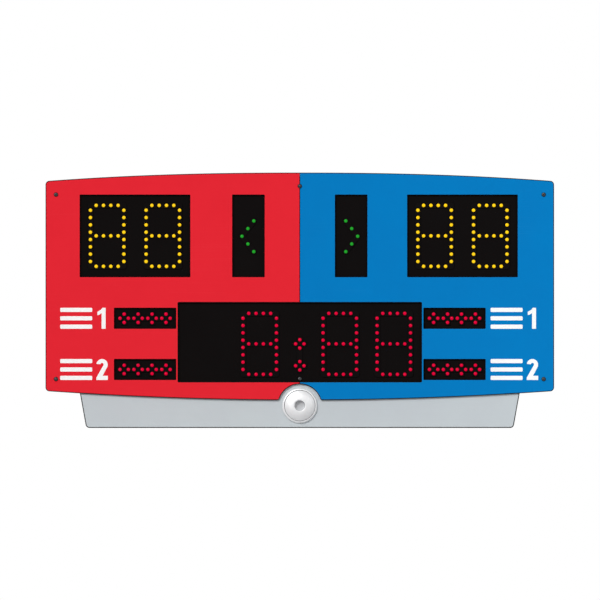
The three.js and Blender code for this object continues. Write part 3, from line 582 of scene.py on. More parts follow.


# A flat body with holes. Each loop goes with its path from front to back, and may be a function
# that gives the loop for an inset. The faces of a bevel are marked as edges, which finishes rub and
# which the case plastic darkens as painted shade
def fillBody(mesh, loops, sideSlot=0, faceSlot=0):
    edge = mesh.faces.layers.float.get("edge") or mesh.faces.layers.float.new("edge")
    ends = []
    for turn, (loop, path) in enumerate(loops):
        rings = []
        for inset, y in path:
            facing = faced(loop(inset) if callable(loop) else loop, turn == 0)
            rings.append([mesh.verts.new((x, y, z)) for x, z in inward(facing, inset)])
        for k in range(len(rings) - 1):
            rubAndShade = float(path[k][0] != path[k + 1][0])
            for face in bridge(mesh, rings[k], rings[k + 1], sideSlot):
                face[edge] = rubAndShade
        ends.append((rings[0], rings[-1]))
    for rings in zip(*ends):
        points = [vert for ring in rings for vert in ring]
        flat = [[Vector((vert.co.x, vert.co.z, 0)) for vert in ring] for ring in rings]
        for corners in tessellate_polygon(flat):
            mesh.faces.new([points[c] for c in corners]).material_index = faceSlot


# A profile of (radius, y) turned about a line along Y, or along X for the handle's pieces
def turnBody(mesh, profile, centre, sides, closed=False, alongX=False):
    rings = []
    for radius, along in profile:
        count = sides if radius > 1e-6 else 1
        ring = []
        for k in range(count):
            turn = 2 * math.pi * k / sides
            a, b = radius * math.cos(turn), radius * math.sin(turn)
            offset = (along, a, b) if alongX else (a, along, b)
            ring.append(mesh.verts.new(Vector(centre) + Vector(offset)))
        rings.append(ring)
    for near, far in zip(rings, rings[1:] + (rings[:1] if closed else [])):
        bridge(mesh, near, far)


def crease(mesh, sharp=32):
    bmesh.ops.recalc_face_normals(mesh, faces=mesh.faces)
    for edge in mesh.edges:
        edge.smooth = edge.calc_face_angle(0.0) < math.radians(sharp)


def newPiece(name, mesh, materials, sharp=32):
    crease(mesh, sharp)
    data = bpy.data.meshes.new(name)
    mesh.to_mesh(data)
    mesh.free()
    for material in materials:
        data.materials.append(finish[material])
    return addObject(name, data)


def dress(piece, nodes, body="board"):
    piece.name = piece.data.name = "fine_" + piece.name.split(".")[0]
    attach(piece, body)
    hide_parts(*nodes)


# Turns what the modifiers make into the piece's own plain mesh
def settle(piece):
    graph = bpy.context.evaluated_depsgraph_get()
    data = bpy.data.meshes.new_from_object(piece.evaluated_get(graph))
    piece.modifiers.clear()
    piece.data = data


# Geometry node trees

def newTree(name, inputs):
    tree = bpy.data.node_groups.new(name, "GeometryNodeTree")
    tree.interface.new_socket(
        name="Geometry", in_out="INPUT", socket_type="NodeSocketGeometry")
    for label, kind in inputs.items():
        tree.interface.new_socket(
            name=label, in_out="INPUT", socket_type="NodeSocket" + kind)
    tree.interface.new_socket(
        name="Geometry", in_out="OUTPUT", socket_type="NodeSocketGeometry")
    given = addNode(tree, "NodeGroupInput").outputs
    result = addNode(tree, "NodeGroupOutput").inputs["Geometry"]
    return tree, given, result


def grow(piece, tree, values):
    modifier = piece.modifiers.new(tree.name, "NODES")
    modifier.node_group = tree
    for socket in tree.interface.items_tree:
        if socket.in_out == "INPUT" and socket.name in values:
            modifier[socket.identifier] = values[socket.name]
    settle(piece)


def joined(tree, *parts):
    node = addNode(tree, "GeometryNodeJoinGeometry")
    for part in parts:
        tree.links.new(part, node.inputs[0])
    return node.outputs[0]


# Attributes are read from the mesh and stored on it by name
def readMark(tree, label, kind="BOOLEAN"):
    return addNode(tree, "GeometryNodeInputNamedAttribute", {"Name": label},
                   data_type=kind).outputs["Attribute"]


def storeMark(tree, geometry, label, value, kind="FLOAT", domain="POINT"):
    return outputOf(tree, "GeometryNodeStoreNamedAttribute", {
        "Geometry": geometry, "Name": label, "Value": value}, data_type=kind, domain=domain)


def along(tree, axis, length):
    return outputOf(tree, "ShaderNodeCombineXYZ", {axis: length})


def moved(tree, geometry, axis, length):
    return outputOf(tree, "GeometryNodeTransform", {
        "Geometry": geometry, "Translation": along(tree, axis, length)})


def rodMesh(tree, sides, radius, length, rings=1):
    return outputOf(tree, "GeometryNodeMeshCylinder", {
        "Vertices": sides, "Side Segments": rings, "Radius": radius, "Depth": length},
        fill_type="NGON")


def smooth(tree, geometry):
    return outputOf(tree, "GeometryNodeSetShadeSmooth", {"Geometry": geometry})


def unmarked(tree, geometry, spots):
    return outputOf(tree, "GeometryNodeDeleteGeometry", {
        "Geometry": geometry, "Selection": spots}, domain="POINT")


# The end of each tree: instances made real, and their material
def realized(tree, geometry, material):
    whole = outputOf(tree, "GeometryNodeRealizeInstances", {"Geometry": geometry})
    return outputOf(tree, "GeometryNodeSetMaterial", {"Geometry": whole, "Material": material})


# A bar whose side is drawn in to a dome, from its foot at z = 0. The last turn, in degrees,
# says how far round the dome goes before its flat crown
def domed(tree, sides, rings, radius, height, lastTurn):
    last = math.radians(lastTurn)
    place = outputOf(tree, "GeometryNodeInputPosition")
    parts = addNode(tree, "ShaderNodeSeparateXYZ", {"Vector": place}).outputs
    share = calculate(tree, "ADD", calculate(tree, "DIVIDE", parts["Z"], height), 0.5)
    turn = calculate(tree, "MULTIPLY", share, last)
    narrow = calculate(tree, "COSINE", turn)
    rise = calculate(tree, "DIVIDE", calculate(tree, "SINE", turn), math.sin(last))
    drawnIn = outputOf(tree, "ShaderNodeCombineXYZ", {
        "X": calculate(tree, "MULTIPLY", parts["X"], narrow),
        "Y": calculate(tree, "MULTIPLY", parts["Y"], narrow),
        "Z": calculate(tree, "MULTIPLY", rise, height)})
    blank = storeMark(tree, rodMesh(tree, sides, radius, height, rings), "crown", share)
    return outputOf(tree, "GeometryNodeSetPosition", {"Geometry": blank, "Position": drawnIn})


# Lamps on the marked points of a strip, each a dome in a low collar that faces the front
def makeLampTree():
    tree, given, result = newTree("lamps on a strip", {
        "Lamp Radius": "Float", "Lamp Height": "Float", "Collar Radius": "Float",
        "Collar Height": "Float", "Sides": "Int", "Lens": "Material", "Strip": "Material"})
    dome = domed(tree, given["Sides"], rings=4, radius=given["Lamp Radius"],
                 height=given["Lamp Height"], lastTurn=80)
    lens = storeMark(tree, dome, "isLens", True, "BOOLEAN", "FACE")
    collar = outputOf(tree, "GeometryNodeMeshCone", {
        "Vertices": given["Sides"], "Radius Top": given["Lamp Radius"],
        "Radius Bottom": given["Collar Radius"], "Depth": given["Collar Height"]},
        fill_type="NGON")
    spots = readMark(tree, "spot")
    lamps = outputOf(tree, "GeometryNodeInstanceOnPoints", {
        "Points": given["Geometry"], "Selection": spots,
        "Instance": smooth(tree, joined(tree, lens, collar)),
        "Rotation": (math.radians(90), 0, 0)})
    strip = unmarked(tree, given["Geometry"], spots)
    black = realized(tree, joined(tree, strip, lamps), given["Strip"])
    tinted = outputOf(tree, "GeometryNodeSetMaterial", {
        "Geometry": black, "Selection": readMark(tree, "isLens"), "Material": given["Lens"]})
    tree.links.new(tinted, result)
    return tree


# Button-head screws on the points, with a hexagon socket and a shank
def makeScrewTree():
    tree, given, result = newTree("button head screws", {
        "Head Radius": "Float", "Head Height": "Float", "Socket Radius": "Float",
        "Socket Depth": "Float", "Shank Radius": "Float", "Shank Length": "Float",
        "Tilt": "Float", "Seed": "Int", "Steel": "Material"})
    dome = domed(tree, sides=24, rings=6, radius=given["Head Radius"],
                 height=given["Head Height"], lastTurn=64)
    # The upper crown is marked as an edge, so its finish paints it lighter: wear, and a painted
    # highlight on the head
    crownWearAndHighlight = ranged(tree, readMark(tree, "crown", "FLOAT"), 0.5, 0.7)
    reach = calculate(tree, "MULTIPLY", given["Socket Depth"], 2.0)
    hexagon = rodMesh(tree, sides=6, radius=given["Socket Radius"], length=reach)
    socketed = addNode(tree, "GeometryNodeMeshBoolean", {
        "Mesh 1": storeMark(tree, dome, "edge", crownWearAndHighlight)}, operation="DIFFERENCE", solver="EXACT")
    tree.links.new(moved(tree, hexagon, "Z", given["Head Height"]), socketed.inputs["Mesh 2"])
    down = calculate(tree, "MULTIPLY", given["Shank Length"], -0.48)  # its top is in the head
    rod = rodMesh(tree, sides=12, radius=given["Shank Radius"], length=given["Shank Length"])
    shank = moved(tree, rod, "Z", down)
    placed = outputOf(tree, "GeometryNodeInstanceOnPoints", {
        "Points": given["Geometry"], "Rotation": along(tree, "X", given["Tilt"]),
        "Instance": smooth(tree, joined(tree, socketed.outputs["Mesh"], shank))})
    spin = addNode(tree, "FunctionNodeRandomValue", {"Seed": given["Seed"]}, data_type="FLOAT")
    turned = outputOf(tree, "GeometryNodeRotateInstances", {
        "Instances": placed, "Rotation": along(tree, "Z", spin.outputs[1]), "Local Space": True})
    tree.links.new(realized(tree, turned, given["Steel"]), result)
    return tree


# A sheet inside the outlines, drawn lying down and then stood up with its outer face at Face Y.
# A round-ended slot is cut at each marked point
def makeSheetTree():
    tree, given, result = newTree("slotted sheet", {
        "Face Y": "Float", "Thickness": "Float", "Slot Width": "Float",
        "Slot Height": "Float", "Coat": "Material"})
    spots = readMark(tree, "spot")
    outlines = outputOf(tree, "GeometryNodeMeshToCurve", {
        "Mesh": unmarked(tree, given["Geometry"], spots)})
    box = outputOf(tree, "GeometryNodeCurvePrimitiveQuadrilateral", {
        "Width": given["Slot Width"], "Height": given["Slot Height"]})
    bend = calculate(tree, "MULTIPLY", given["Slot Width"], 0.499)  # nearly a half circle
    slot = outputOf(tree, "GeometryNodeFilletCurve", {
        "Curve": box, "Count": 6, "Radius": bend}, mode="POLY")
    slots = outputOf(tree, "GeometryNodeInstanceOnPoints", {
        "Points": given["Geometry"], "Selection": spots, "Instance": slot})
    cuts = outputOf(tree, "GeometryNodeRealizeInstances", {"Geometry": slots})
    face = outputOf(tree, "GeometryNodeFillCurve", {
        "Curve": joined(tree, outlines, cuts)}, mode="NGONS")
    raised = outputOf(tree, "GeometryNodeExtrudeMesh", {
        "Mesh": face, "Offset Scale": given["Thickness"], "Individual": False}, mode="FACES")
    back = outputOf(tree, "GeometryNodeFlipFaces", {"Mesh": face})
    closed = outputOf(tree, "GeometryNodeMergeByDistance", {
        "Geometry": joined(tree, raised, back), "Distance": 0.00001})
    stood = outputOf(tree, "GeometryNodeTransform", {
        "Geometry": closed, "Translation": along(tree, "Y", given["Face Y"]),
        "Rotation": (math.radians(90), 0, 0)})
    tree.links.new(realized(tree, stood, given["Coat"]), result)
    return tree


# Round ribs along a sleeve that lies along X
def makeRibTree():
    tree, given, result = newTree("ribs on a sleeve", {
        "Length": "Float", "Count": "Int", "Ring Radius": "Float", "Rib Radius": "Float",
        "Rubber": "Material"})
    half = calculate(tree, "MULTIPLY", given["Length"], 0.5)
    line = outputOf(tree, "GeometryNodeCurvePrimitiveLine", {
        "Start": along(tree, "X", calculate(tree, "MULTIPLY", half, -1.0)),
        "End": along(tree, "X", half)})
    points = outputOf(tree, "GeometryNodeCurveToPoints", {
        "Curve": line, "Count": given["Count"]}, mode="COUNT")
    ring = outputOf(tree, "GeometryNodeCurvePrimitiveCircle", {
        "Resolution": 40, "Radius": given["Ring Radius"]})
    section = outputOf(tree, "GeometryNodeCurvePrimitiveCircle", {
        "Resolution": 8, "Radius": given["Rib Radius"]})
    rib = outputOf(tree, "GeometryNodeCurveToMesh", {"Curve": ring, "Profile Curve": section})
    ribs = outputOf(tree, "GeometryNodeInstanceOnPoints", {
        "Points": points, "Instance": smooth(tree, rib),
        "Rotation": (0, math.radians(90), 0)})
    whole = joined(tree, given["Geometry"], ribs)
    tree.links.new(realized(tree, whole, given["Rubber"]), result)
    return tree


lampTree = makeLampTree()
screwTree = makeScrewTree()
sheetTree = makeSheetTree()
ribTree = makeRibTree()
print("geometry node trees are ready")


# Front panels

panel = {
    "halfWidth": 0.31785,
    "frontY": -0.040,
    "backY": -0.037,
    "topZ": 0.3192,  # at the middle
    "topFall": 0.0106,
    "topPower": 2.3,
    "bottomZ": 0.0347,
    "bottomRise": 0.0114,
    "corner": 0.005,
    "seam": 0.00006,
    "chamfer": 0.0010,
    "seamChamfer": 0.00045,
    "windowChamfer": 0.0003,
    "windowCorner": 0.0007,
    "cutRadius": 0.0269,
    "cutZ": 0.0279,
    "cutFillet": 0.003,
}

# Middle x and z, width and height
windows = {
    "leftScore": (-0.206, 0.2401, 0.1378, 0.1028),
    "rightScore": (0.2033, 0.2401, 0.1378, 0.1028),
    "leftArrow": (-0.0642, 0.2401, 0.0402, 0.1028),
    "rightArrow": (0.0642, 0.2401, 0.0402, 0.1028),
    "leftUpper": (-0.1934, 0.1371, 0.07732, 0.02586),
    "leftLower": (-0.1934, 0.0731, 0.07732, 0.02586),
    "rightUpper": (0.1934, 0.1371, 0.07732, 0.02586),
    "rightLower": (0.1934, 0.0731, 0.07732, 0.02586),
}

clockWindow = {"halfWidth": 0.1518, "bottomZ": 0.0579, "topZ": 0.1565}


def topEdge(x, inset):
    share = abs(x) / panel["halfWidth"]
    return panel["topZ"] - inset - panel["topFall"] * share ** panel["topPower"]


def bottomEdge(x, inset):
    share = abs(x) / panel["halfWidth"]
    return panel["bottomZ"] + inset + panel["bottomRise"] * share ** 2


def edgeRun(edge, inset, start, end, steps=40):
    places = [start + (end - start) * k / steps for k in range(steps + 1)]
    return [(x, edge(x, inset)) for x in places]


# From the top near the middle clockwise to the bottom
def rightSide(inset, topX, bottomX):
    radius = panel["corner"]
    cornerX = panel["halfWidth"] - inset - radius
    highZ = topEdge(cornerX, inset) - radius
    lowZ = bottomEdge(cornerX, inset) + radius
    return (edgeRun(topEdge, inset, topX, cornerX) + arc(cornerX, highZ, radius, 90, 0, 8)[1:]
            + arc(cornerX, lowZ, radius, 0, -90, 8)
            + edgeRun(bottomEdge, inset, cornerX, bottomX)[1:])


# The right panel. Its bevel is narrower along the seam
def panelLoop(inset):
    seamX = panel["seam"] / 2 - max(0, inset - panel["seamChamfer"])
    fillet, radius, middle = panel["cutFillet"], panel["cutRadius"], panel["cutZ"]
    filletZ = panel["bottomZ"] + fillet
    filletX = math.sqrt((radius + fillet) ** 2 - (filletZ - middle) ** 2)
    lean = math.degrees(math.atan2(filletZ - middle, filletX))
    last = math.degrees(math.acos(seamX / radius))
    right, low, high = clockWindow["halfWidth"], clockWindow["bottomZ"], clockWindow["topZ"]
    bend = panel["windowCorner"]
    notch = ([(seamX, low)] + arc(right - bend, low + bend, bend, -90, 0, 4)
             + arc(right - bend, high - bend, bend, 0, 90, 4) + [(seamX, high)])
    return (rightSide(0.0, seamX, filletX) + arc(filletX, filletZ, fillet, -90, lean - 180, 8)[1:]
            + arc(0, middle, radius, lean, last, 24)[1:] + notch)


def panelPath(chamfer):
    back = panel["backY"]
    return frontRound(panel["frontY"], chamfer) + [(0, back - chamfer / 2), (chamfer / 2, back)]


def makePanel(name, side, loop, coat):
    windowPath = panelPath(panel["windowChamfer"])
    holes = [(roundedBox(*place, panel["windowCorner"]), windowPath)
             for window, place in windows.items() if window.startswith(side)]
    mesh = bmesh.new()
    # The sides and bevels take the near black, painted shade along the edges
    fillBody(mesh, [(loop, panelPath(panel["chamfer"])), *holes], sideSlot=1)
    dress(newPiece(name, mesh, [coat, "panel edge black as painted shade"]), [name])


def leftPanelLoop(inset):
    return mirrored(panelLoop(inset))


makePanel("panel_blue", "right", panelLoop, "blue print")
makePanel("panel_red", "left", leftPanelLoop, "red print")
print("front panels are made")


# Prints beside the category rows: a numeral and three plain bars

prints = {
    "thickness": 0.0001,
    "sunk": 0.00002,  # how far they reach into the panel
    "height": 0.0262,
    "barHeight": 0.0052,
    "barCorner": 0.0012,
    "rows": [("1", windows["leftUpper"][1]), ("2", windows["leftLower"][1])],
    "sides": [  # bars from, bars to, middle of the numeral
        ("print_red_side", -0.2995, -0.2595, -0.2472),
        ("print_blue_side", 0.2385, 0.2785, 0.2908),
    ],
}


# Outlines of the numerals as shares of their height, about their middle
def numeralOne():
    return [(-0.02, -0.5), (0.17, -0.5), (0.17, 0.5), (0.02, 0.5), (-0.06, 0.40), (-0.22, 0.31),
            (-0.22, 0.15), (-0.12, 0.18), (-0.02, 0.245)]


def numeralTwo():
    outer = arc(0.0, 0.23, 0.27, 172, -34, 20)
    inner = arc(0.0, 0.24, 0.075, -30, 172, 14)
    return (outer + [(0.03, -0.30), (0.275, -0.30), (0.275, -0.5), (-0.275, -0.5),
                     (-0.265, -0.38)] + inner)


numerals = {"1": numeralOne(), "2": numeralTwo()}


def makePrints():
    front, tall, barTall = panel["frontY"], prints["height"], prints["barHeight"]
    path = straight(front - prints["thickness"], front + prints["sunk"])
    for name, left, right, middle in prints["sides"]:
        mesh = bmesh.new()
        for numeral, z in prints["rows"]:
            outline = [(x * tall, up * tall) for x, up in numerals[numeral]]
            fillBody(mesh, [(shifted(outline, middle, z), path)])
            for barZ in centred(3, (tall - barTall) / 2):
                stripe = roundedBox((left + right) / 2, z + barZ, right - left, barTall,
                                    prints["barCorner"])
                fillBody(mesh, [(stripe, path)])
        piece = newPiece(name, mesh, ["white print"])
        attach(piece, "board")


makePrints()
print("prints are made")


# Lamps on their strips

lamps = {
    "radius": 0.0023,
    "height": 0.0015,
    "collar": 0.0028,
    "collarHeight": 0.0004,
    "sides": 12,
    "pitch": 0.00915,
    "stripWidth": 0.007,
    "stripFront": -0.038,
    "stripBack": panel["backY"],
    "chamfer": 0.0002,
    "innerCorner": 0.0015,
    "columnGap": 0.0418,
    "rowGap": 0.0381,
    "arm": 0.00523,  # from the middle of a diamond to its lamps
    "categoryPitch": 0.01742,
    "arrowStep": (0.0074, 0.0096),
    "colonDrop": 0.0274,
}

# Form, middle and colour of each piece
lampPieces = {
    "digit_left_tens": ("digit", (-0.2408, 0.2401), "yellow"),
    "digit_left_units": ("digit", (-0.1712, 0.2401), "yellow"),
    "digit_right_tens": ("digit", (0.1685, 0.2401), "yellow"),
    "digit_right_units": ("digit", (0.2381, 0.2401), "yellow"),
    "arrow_left": ("leftArrow", (-0.0649, 0.2396), "green"),
    "arrow_right": ("rightArrow", (0.0649, 0.2396), "green"),
    "clock_minutes": ("digit", (-0.0501, 0.1051), "red"),
    "clock_colon": ("colon", (0.0, 0.1051), "red"),
    "clock_tens": ("digit", (0.05, 0.1051), "red"),
    "clock_seconds": ("digit", (0.1175, 0.1051), "red"),
    "category_left_upper": ("category", windows["leftUpper"][:2], "red"),
    "category_left_lower": ("category", windows["leftLower"][:2], "red"),
    "category_right_upper": ("category", windows["rightUpper"][:2], "red"),
    "category_right_lower": ("category", windows["rightLower"][:2], "red"),
}


def digitForm():
    side, row, half = lamps["columnGap"] / 2, lamps["rowGap"], lamps["stripWidth"] / 2
    spots = [(x, z) for x in (-side, side) for z in centred(8, lamps["pitch"])]
    spots += [(x, z) for z in (row, 0, -row) for x in centred(4, lamps["pitch"])]
    outer = roundedBox(0, 0, 2 * (side + half), 2 * (row + half), half)
    holes = [roundedBox(0, z, 2 * (side - half), row - 2 * half, lamps["innerCorner"])
             for z in (row / 2, -row / 2)]
    return outer, holes, spots


# A chevron as wide as the strip, with round ends
def arrowForm(side):
    stepX, stepZ = lamps["arrowStep"]
    half = lamps["stripWidth"] / 2
    slope = math.degrees(math.atan2(stepZ, stepX))
    reach = half / math.sin(math.radians(slope))
    upper, lower = (-stepX, 2 * stepZ), (-stepX, -2 * stepZ)
    outer = (arc(*upper, half, 90 - slope, 270 - slope, 8) + [(stepX - reach, 0)]
             + arc(*lower, half, 90 + slope, 270 + slope, 8)
             + arc(stepX, 0, half, slope - 90, 90 - slope, 6))
    spots = [(stepX, 0), (0, stepZ), (0, -stepZ), upper, lower]
    if side < 0:
        outer, spots = mirrored(outer), mirrored(spots)
    return outer, [], spots


# A bar with cross bars at the given places, and a diamond of four lamps on each
def combForm(places):
    arm, half = lamps["arm"], lamps["stripWidth"] / 2
    end, tip = places[-1] + arm + half, arm + half
    top = [(-end, half)]
    for place in places:
        left, right = place - half, place + half
        top += [(left, half), (left, tip), (right, tip), (right, half)]
    top.append((end, half))
    outer = top + [(x, -z) for x, z in reversed(top)]
    spots = [(place + x, z) for place in places
             for x, z in ((-arm, 0), (arm, 0), (0, -arm), (0, arm))]
    return outer, [], spots


# The same stood on end, with the upper diamond at its middle
def colonForm():
    low, high = centred(2, lamps["colonDrop"])
    outer, holes, spots = combForm([low, high])
    outer, spots = ([(z, x + low) for x, z in points] for points in (outer, spots))
    return outer, holes, spots


forms = {
    "digit": digitForm(),
    "leftArrow": arrowForm(-1),
    "rightArrow": arrowForm(1),
    "category": combForm(centred(4, lamps["categoryPitch"])),
    "colon": colonForm(),
}


def makeLamps(name, form, middle, colour):
    outer, holes, spots = forms[form]
    front, back, chamfer = lamps["stripFront"], lamps["stripBack"], lamps["chamfer"]
    path = [(chamfer, front), (0, front + chamfer), (0, back)]
    mesh = bmesh.new()
    fillBody(mesh, [(shifted(loop, *middle), path) for loop in (outer, *holes)])
    spot = mesh.verts.layers.int.new("spot")
    for x, z in shifted(spots, *middle):
        mesh.verts.new((x, front, z))[spot] = 1
    piece = newPiece(name, mesh, ["strip black"])
    grow(piece, lampTree, {
        "Lamp Radius": lamps["radius"], "Lamp Height": lamps["height"],
        "Collar Radius": lamps["collar"], "Collar Height": lamps["collarHeight"],
        "Sides": lamps["sides"], "Lens": finish[colour + " lens"],
        "Strip": finish["strip black"]})
    dress(piece, [name])


for name, (form, middle, colour) in lampPieces.items():
    makeLamps(name, form, middle, colour)
print("lamps are made:", len(lampPieces))


# Case and rear cover

case = {
    "inset": 0.005,  # from the edge of the panels
    "wall": 0.003,
    "frontWall": 0.004,
    "frontY": panel["backY"],
    "rearY": 0.035,
    "round": 0.0012,
    "rearChamfer": 0.0006,
    "plinthHalfWidth": 0.26785,
    "flare": 0.18,  # of the foot, outwards per height
    "corner": 0.005,
    "junction": 0.003,  # bend between body and foot
    "boardGap": 0.0003,
    "boardCorner": 0.0005,
    "ledge": 0.0063,  # width of the rim that a board rests on
    "pocketY": -0.035,
    "postRadius": 0.0055,
    "sounderHole": 0.0163,
}

boards = ["display_board_left", "display_board_right", "display_board_lower"]

# The x and z of each screw, and for those in front the y of its seat
screwSpots = {
    "panel_screw_top_left": (-0.30485, 0.2917, panel["frontY"]),
    "panel_screw_top_right": (0.30485, 0.2917, panel["frontY"]),
    "panel_screw_bottom_left": (-0.30485, 0.0611, panel["frontY"]),
    "panel_screw_bottom_right": (0.30485, 0.0611, panel["frontY"]),
    "panel_screw_top_middle": (0.0, 0.3023, panel["frontY"]),
    "panel_screw_bottom_middle": (0.0, 0.0614, panel["backY"]),
}

coverSpots = {
    "cover_screw_top_left": (-0.30485, 0.2917),
    "cover_screw_top_right": (0.30485, 0.2917),
    "cover_screw_side_left": (-0.30485, 0.0611),
    "cover_screw_side_right": (0.30485, 0.0611),
    "cover_screw_top_middle": (0.0, 0.3023),
    "cover_screw_lower_middle": (0.0, 0.0614),
    "cover_screw_foot_left": (-0.25005, 0.015),
    "cover_screw_foot_right": (0.25005, 0.015),
}


# The case seen from the front: the bowed body and the foot under it
def caseLoop():
    radius, flare, inset, bend = case["corner"], case["flare"], case["inset"], case["junction"]
    lean = math.atan(flare)
    centreX = case["plinthHalfWidth"] - radius

    def footSide(z):
        return centreX + radius / math.cos(lean) + (z - radius) * flare

    joinZ = radius
    for _ in range(20):  # closes in on the height where the foot leaves the body
        joinZ = bottomEdge(footSide(joinZ), inset)
    joinX = footSide(joinZ)
    first = (joinX + bend, bottomEdge(joinX + bend, inset))
    last = (footSide(joinZ - bend), joinZ - bend)
    right = (rightSide(inset, 0.0, first[0])[:-1] + bendTo(first, (joinX, joinZ), last, 6)
             + arc(centreX, radius, radius, -math.degrees(lean), -90, 8))
    return right + mirrored(right)[::-1][:-1]


def boxBehind(node, gap):
    low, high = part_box(node)
    return roundedBox((low.x + high.x) / 2, (low.z + high.z) / 2, high.x - low.x + 2 * gap,
                      high.z - low.z + 2 * gap, case["boardCorner"], steps=2)


def makeCase():
    front, back, pocket = case["frontY"], case["rearY"], case["pocketY"]
    wall, chamfer, ledge = case["wall"], case["rearChamfer"], -case["ledge"]
    innerY = front + case["frontWall"]
    path = frontRound(front, case["round"], fineRound) + [
        (0, back - chamfer), (chamfer, back), (wall, back), (wall, innerY)]
    step = [(0, front), (0, pocket), (ledge, pocket), (ledge, innerY)]
    holes = [(boxBehind(node, case["boardGap"]), step) for node in boards]
    sounderHole = circle(0, panel["cutZ"], case["sounderHole"], sides=48)
    holes.append((sounderHole, straight(front, innerY)))
    mesh = bmesh.new()
    fillBody(mesh, [(caseLoop(), path), *holes])
    for x, z in coverSpots.values():
        fillBody(mesh, [(circle(x, z, case["postRadius"], sides=20), straight(pocket, back))])
    dress(newPiece("case_shell", mesh, ["case plastic"]), ["case_shell"])


makeCase()

cover = {
    "innerY": case["rearY"],
    "outerY": 0.037,
    "ventX": 0.18,
    "ventZ": 0.215,
    "ventCount": 9,
    "ventPitch": 0.013,
    "ventWidth": 0.004,
    "ventHeight": 0.046,
    "keyholeX": 0.26785,
    "keyholeZ": 0.262,
    "keyholeRadius": 0.005,
    "keyholeSlot": 0.0025,  # half its width
    "keyholeTop": 0.275,
    "footZ": 0.042,
    "inlet": (-0.190, 0.0276, 0.0206),  # x, width, height of the hole
    "switch": (-0.145, 0.0134, 0.0198),
    "holeCorner": 0.001,
    "socketX": (0.130, 0.170),
    "socketRadius": 0.0083,
    "bend": 0.00025,
    "standoffRadius": 0.0035,
    "standoffs": [(x, z) for x in (-0.088, 0.088) for z in (0.141, 0.251)],
    "standoffSunk": 0.0001,
    "boardY": 0.0226,
}


def keyholeLoop(x):
    radius, half, z = cover["keyholeRadius"], cover["keyholeSlot"], cover["keyholeZ"]
    meet = math.degrees(math.acos(half / radius))
    slotZ = cover["keyholeTop"] - half
    return arc(x, slotZ, half, 0, 180, 10) + arc(x, z, radius, 180 - meet, 360 + meet, 28)


def coverLoops():
    loops = [caseLoop(), keyholeLoop(-cover["keyholeX"]), keyholeLoop(cover["keyholeX"])]
    for x, width, height in (cover["inlet"], cover["switch"]):
        loops.append(roundedBox(x, cover["footZ"], width, height, cover["holeCorner"]))
    for x in cover["socketX"]:
        loops.append(circle(x, cover["footZ"], cover["socketRadius"], sides=32))
    return [faced(loop, True) for loop in loops]


# The outlines as lines of points, with a loose marked point for each vent
def makeCoverSketch():
    mesh = bmesh.new()
    spot = mesh.verts.layers.int.new("spot")
    for loop in coverLoops():
        ring = [mesh.verts.new((x, z, 0)) for x, z in loop]
        for k in range(len(ring)):
            mesh.edges.new((ring[k - 1], ring[k]))
    for middle in (-cover["ventX"], cover["ventX"]):
        for x in centred(cover["ventCount"], cover["ventPitch"]):
            mesh.verts.new((middle + x, cover["ventZ"], 0))[spot] = 1
    data = bpy.data.meshes.new("rear_cover")
    mesh.to_mesh(data)
    mesh.free()
    return addObject("rear_cover", data)


def makeCover():
    piece = makeCoverSketch()
    grow(piece, sheetTree, {
        "Face Y": cover["outerY"], "Thickness": cover["outerY"] - cover["innerY"],
        "Slot Width": cover["ventWidth"], "Slot Height": cover["ventHeight"],
        "Coat": finish["cover coat"]})
    bevel = piece.modifiers.new("edges", "BEVEL")
    bevel.width = cover["bend"]
    bevel.segments = 2
    bevel.limit_method = "ANGLE"
    settle(piece)
    mesh = bmesh.new()
    mesh.from_mesh(piece.data)
    path = straight(cover["boardY"], cover["innerY"] + cover["standoffSunk"])
    for x, z in cover["standoffs"]:
        fillBody(mesh, [(circle(x, z, cover["standoffRadius"], sides=20), path)])
    crease(mesh)
    for face in mesh.faces:
        face.smooth = abs(face.normal.y) < 0.99
    mesh.to_mesh(piece.data)
    mesh.free()
    dress(piece, ["rear_cover"])


makeCover()
print("case and cover are made")


# Screws

screws = {
    "headRadius": 0.00275,
    "headHeight": 0.0017,
    "socketRadius": 0.00118,
    "socketDepth": 0.0011,
    "shankRadius": 0.0015,
    "shankLength": 0.0118,
}


def makeScrews(name, places, tilt, seed, nodes):
    data = bpy.data.meshes.new(name)
    data.from_pydata(places, [], [])
    piece = addObject(name, data)
    grow(piece, screwTree, {
        "Head Radius": screws["headRadius"], "Head Height": screws["headHeight"],
        "Socket Radius": screws["socketRadius"], "Socket Depth": screws["socketDepth"],
        "Shank Radius": screws["shankRadius"], "Shank Length": screws["shankLength"],
        "Tilt": math.radians(tilt), "Seed": seed, "Steel": finish["oxide with worn crown and painted highlight"]})
    piece.data.set_sharp_from_angle(angle=math.radians(32))
    dress(piece, nodes)


seats = [(x, y, z) for x, z, y in screwSpots.values()]
makeScrews("panel_screws", seats, tilt=90, seed=3, nodes=list(screwSpots))
seats = [(x, cover["outerY"], z) for x, z in coverSpots.values()]
makeScrews("cover_screws", seats, tilt=-90, seed=5, nodes=list(coverSpots))
print("screws are made")


# Sounder

sounder = {
    "centre": (0.0, case["frontY"], panel["cutZ"]),
    "sides": 96,
    "radius": 0.0219,
    "flange": 0.003,
    "round": 0.0022,
    "recessRadius": 0.0196,
    "recess": 0.0018,
    "recessChamfer": 0.0003,
    "barrel": 0.016,
    "barrelLength": 0.020,
    "bore": 0.009,
    "boreDepth": 0.009,
    "capRadius": 0.0188,
    "capBend": 0.0005,
    "capSlope": 37.0,  # of the dome at its edge, in degrees
    "domeSteps": 20,
    "dishRadius": 0.0066,
    "dishDepth": 0.0048,
    "dishHollow": 0.0004,
    "dishBend": 0.0014,
}


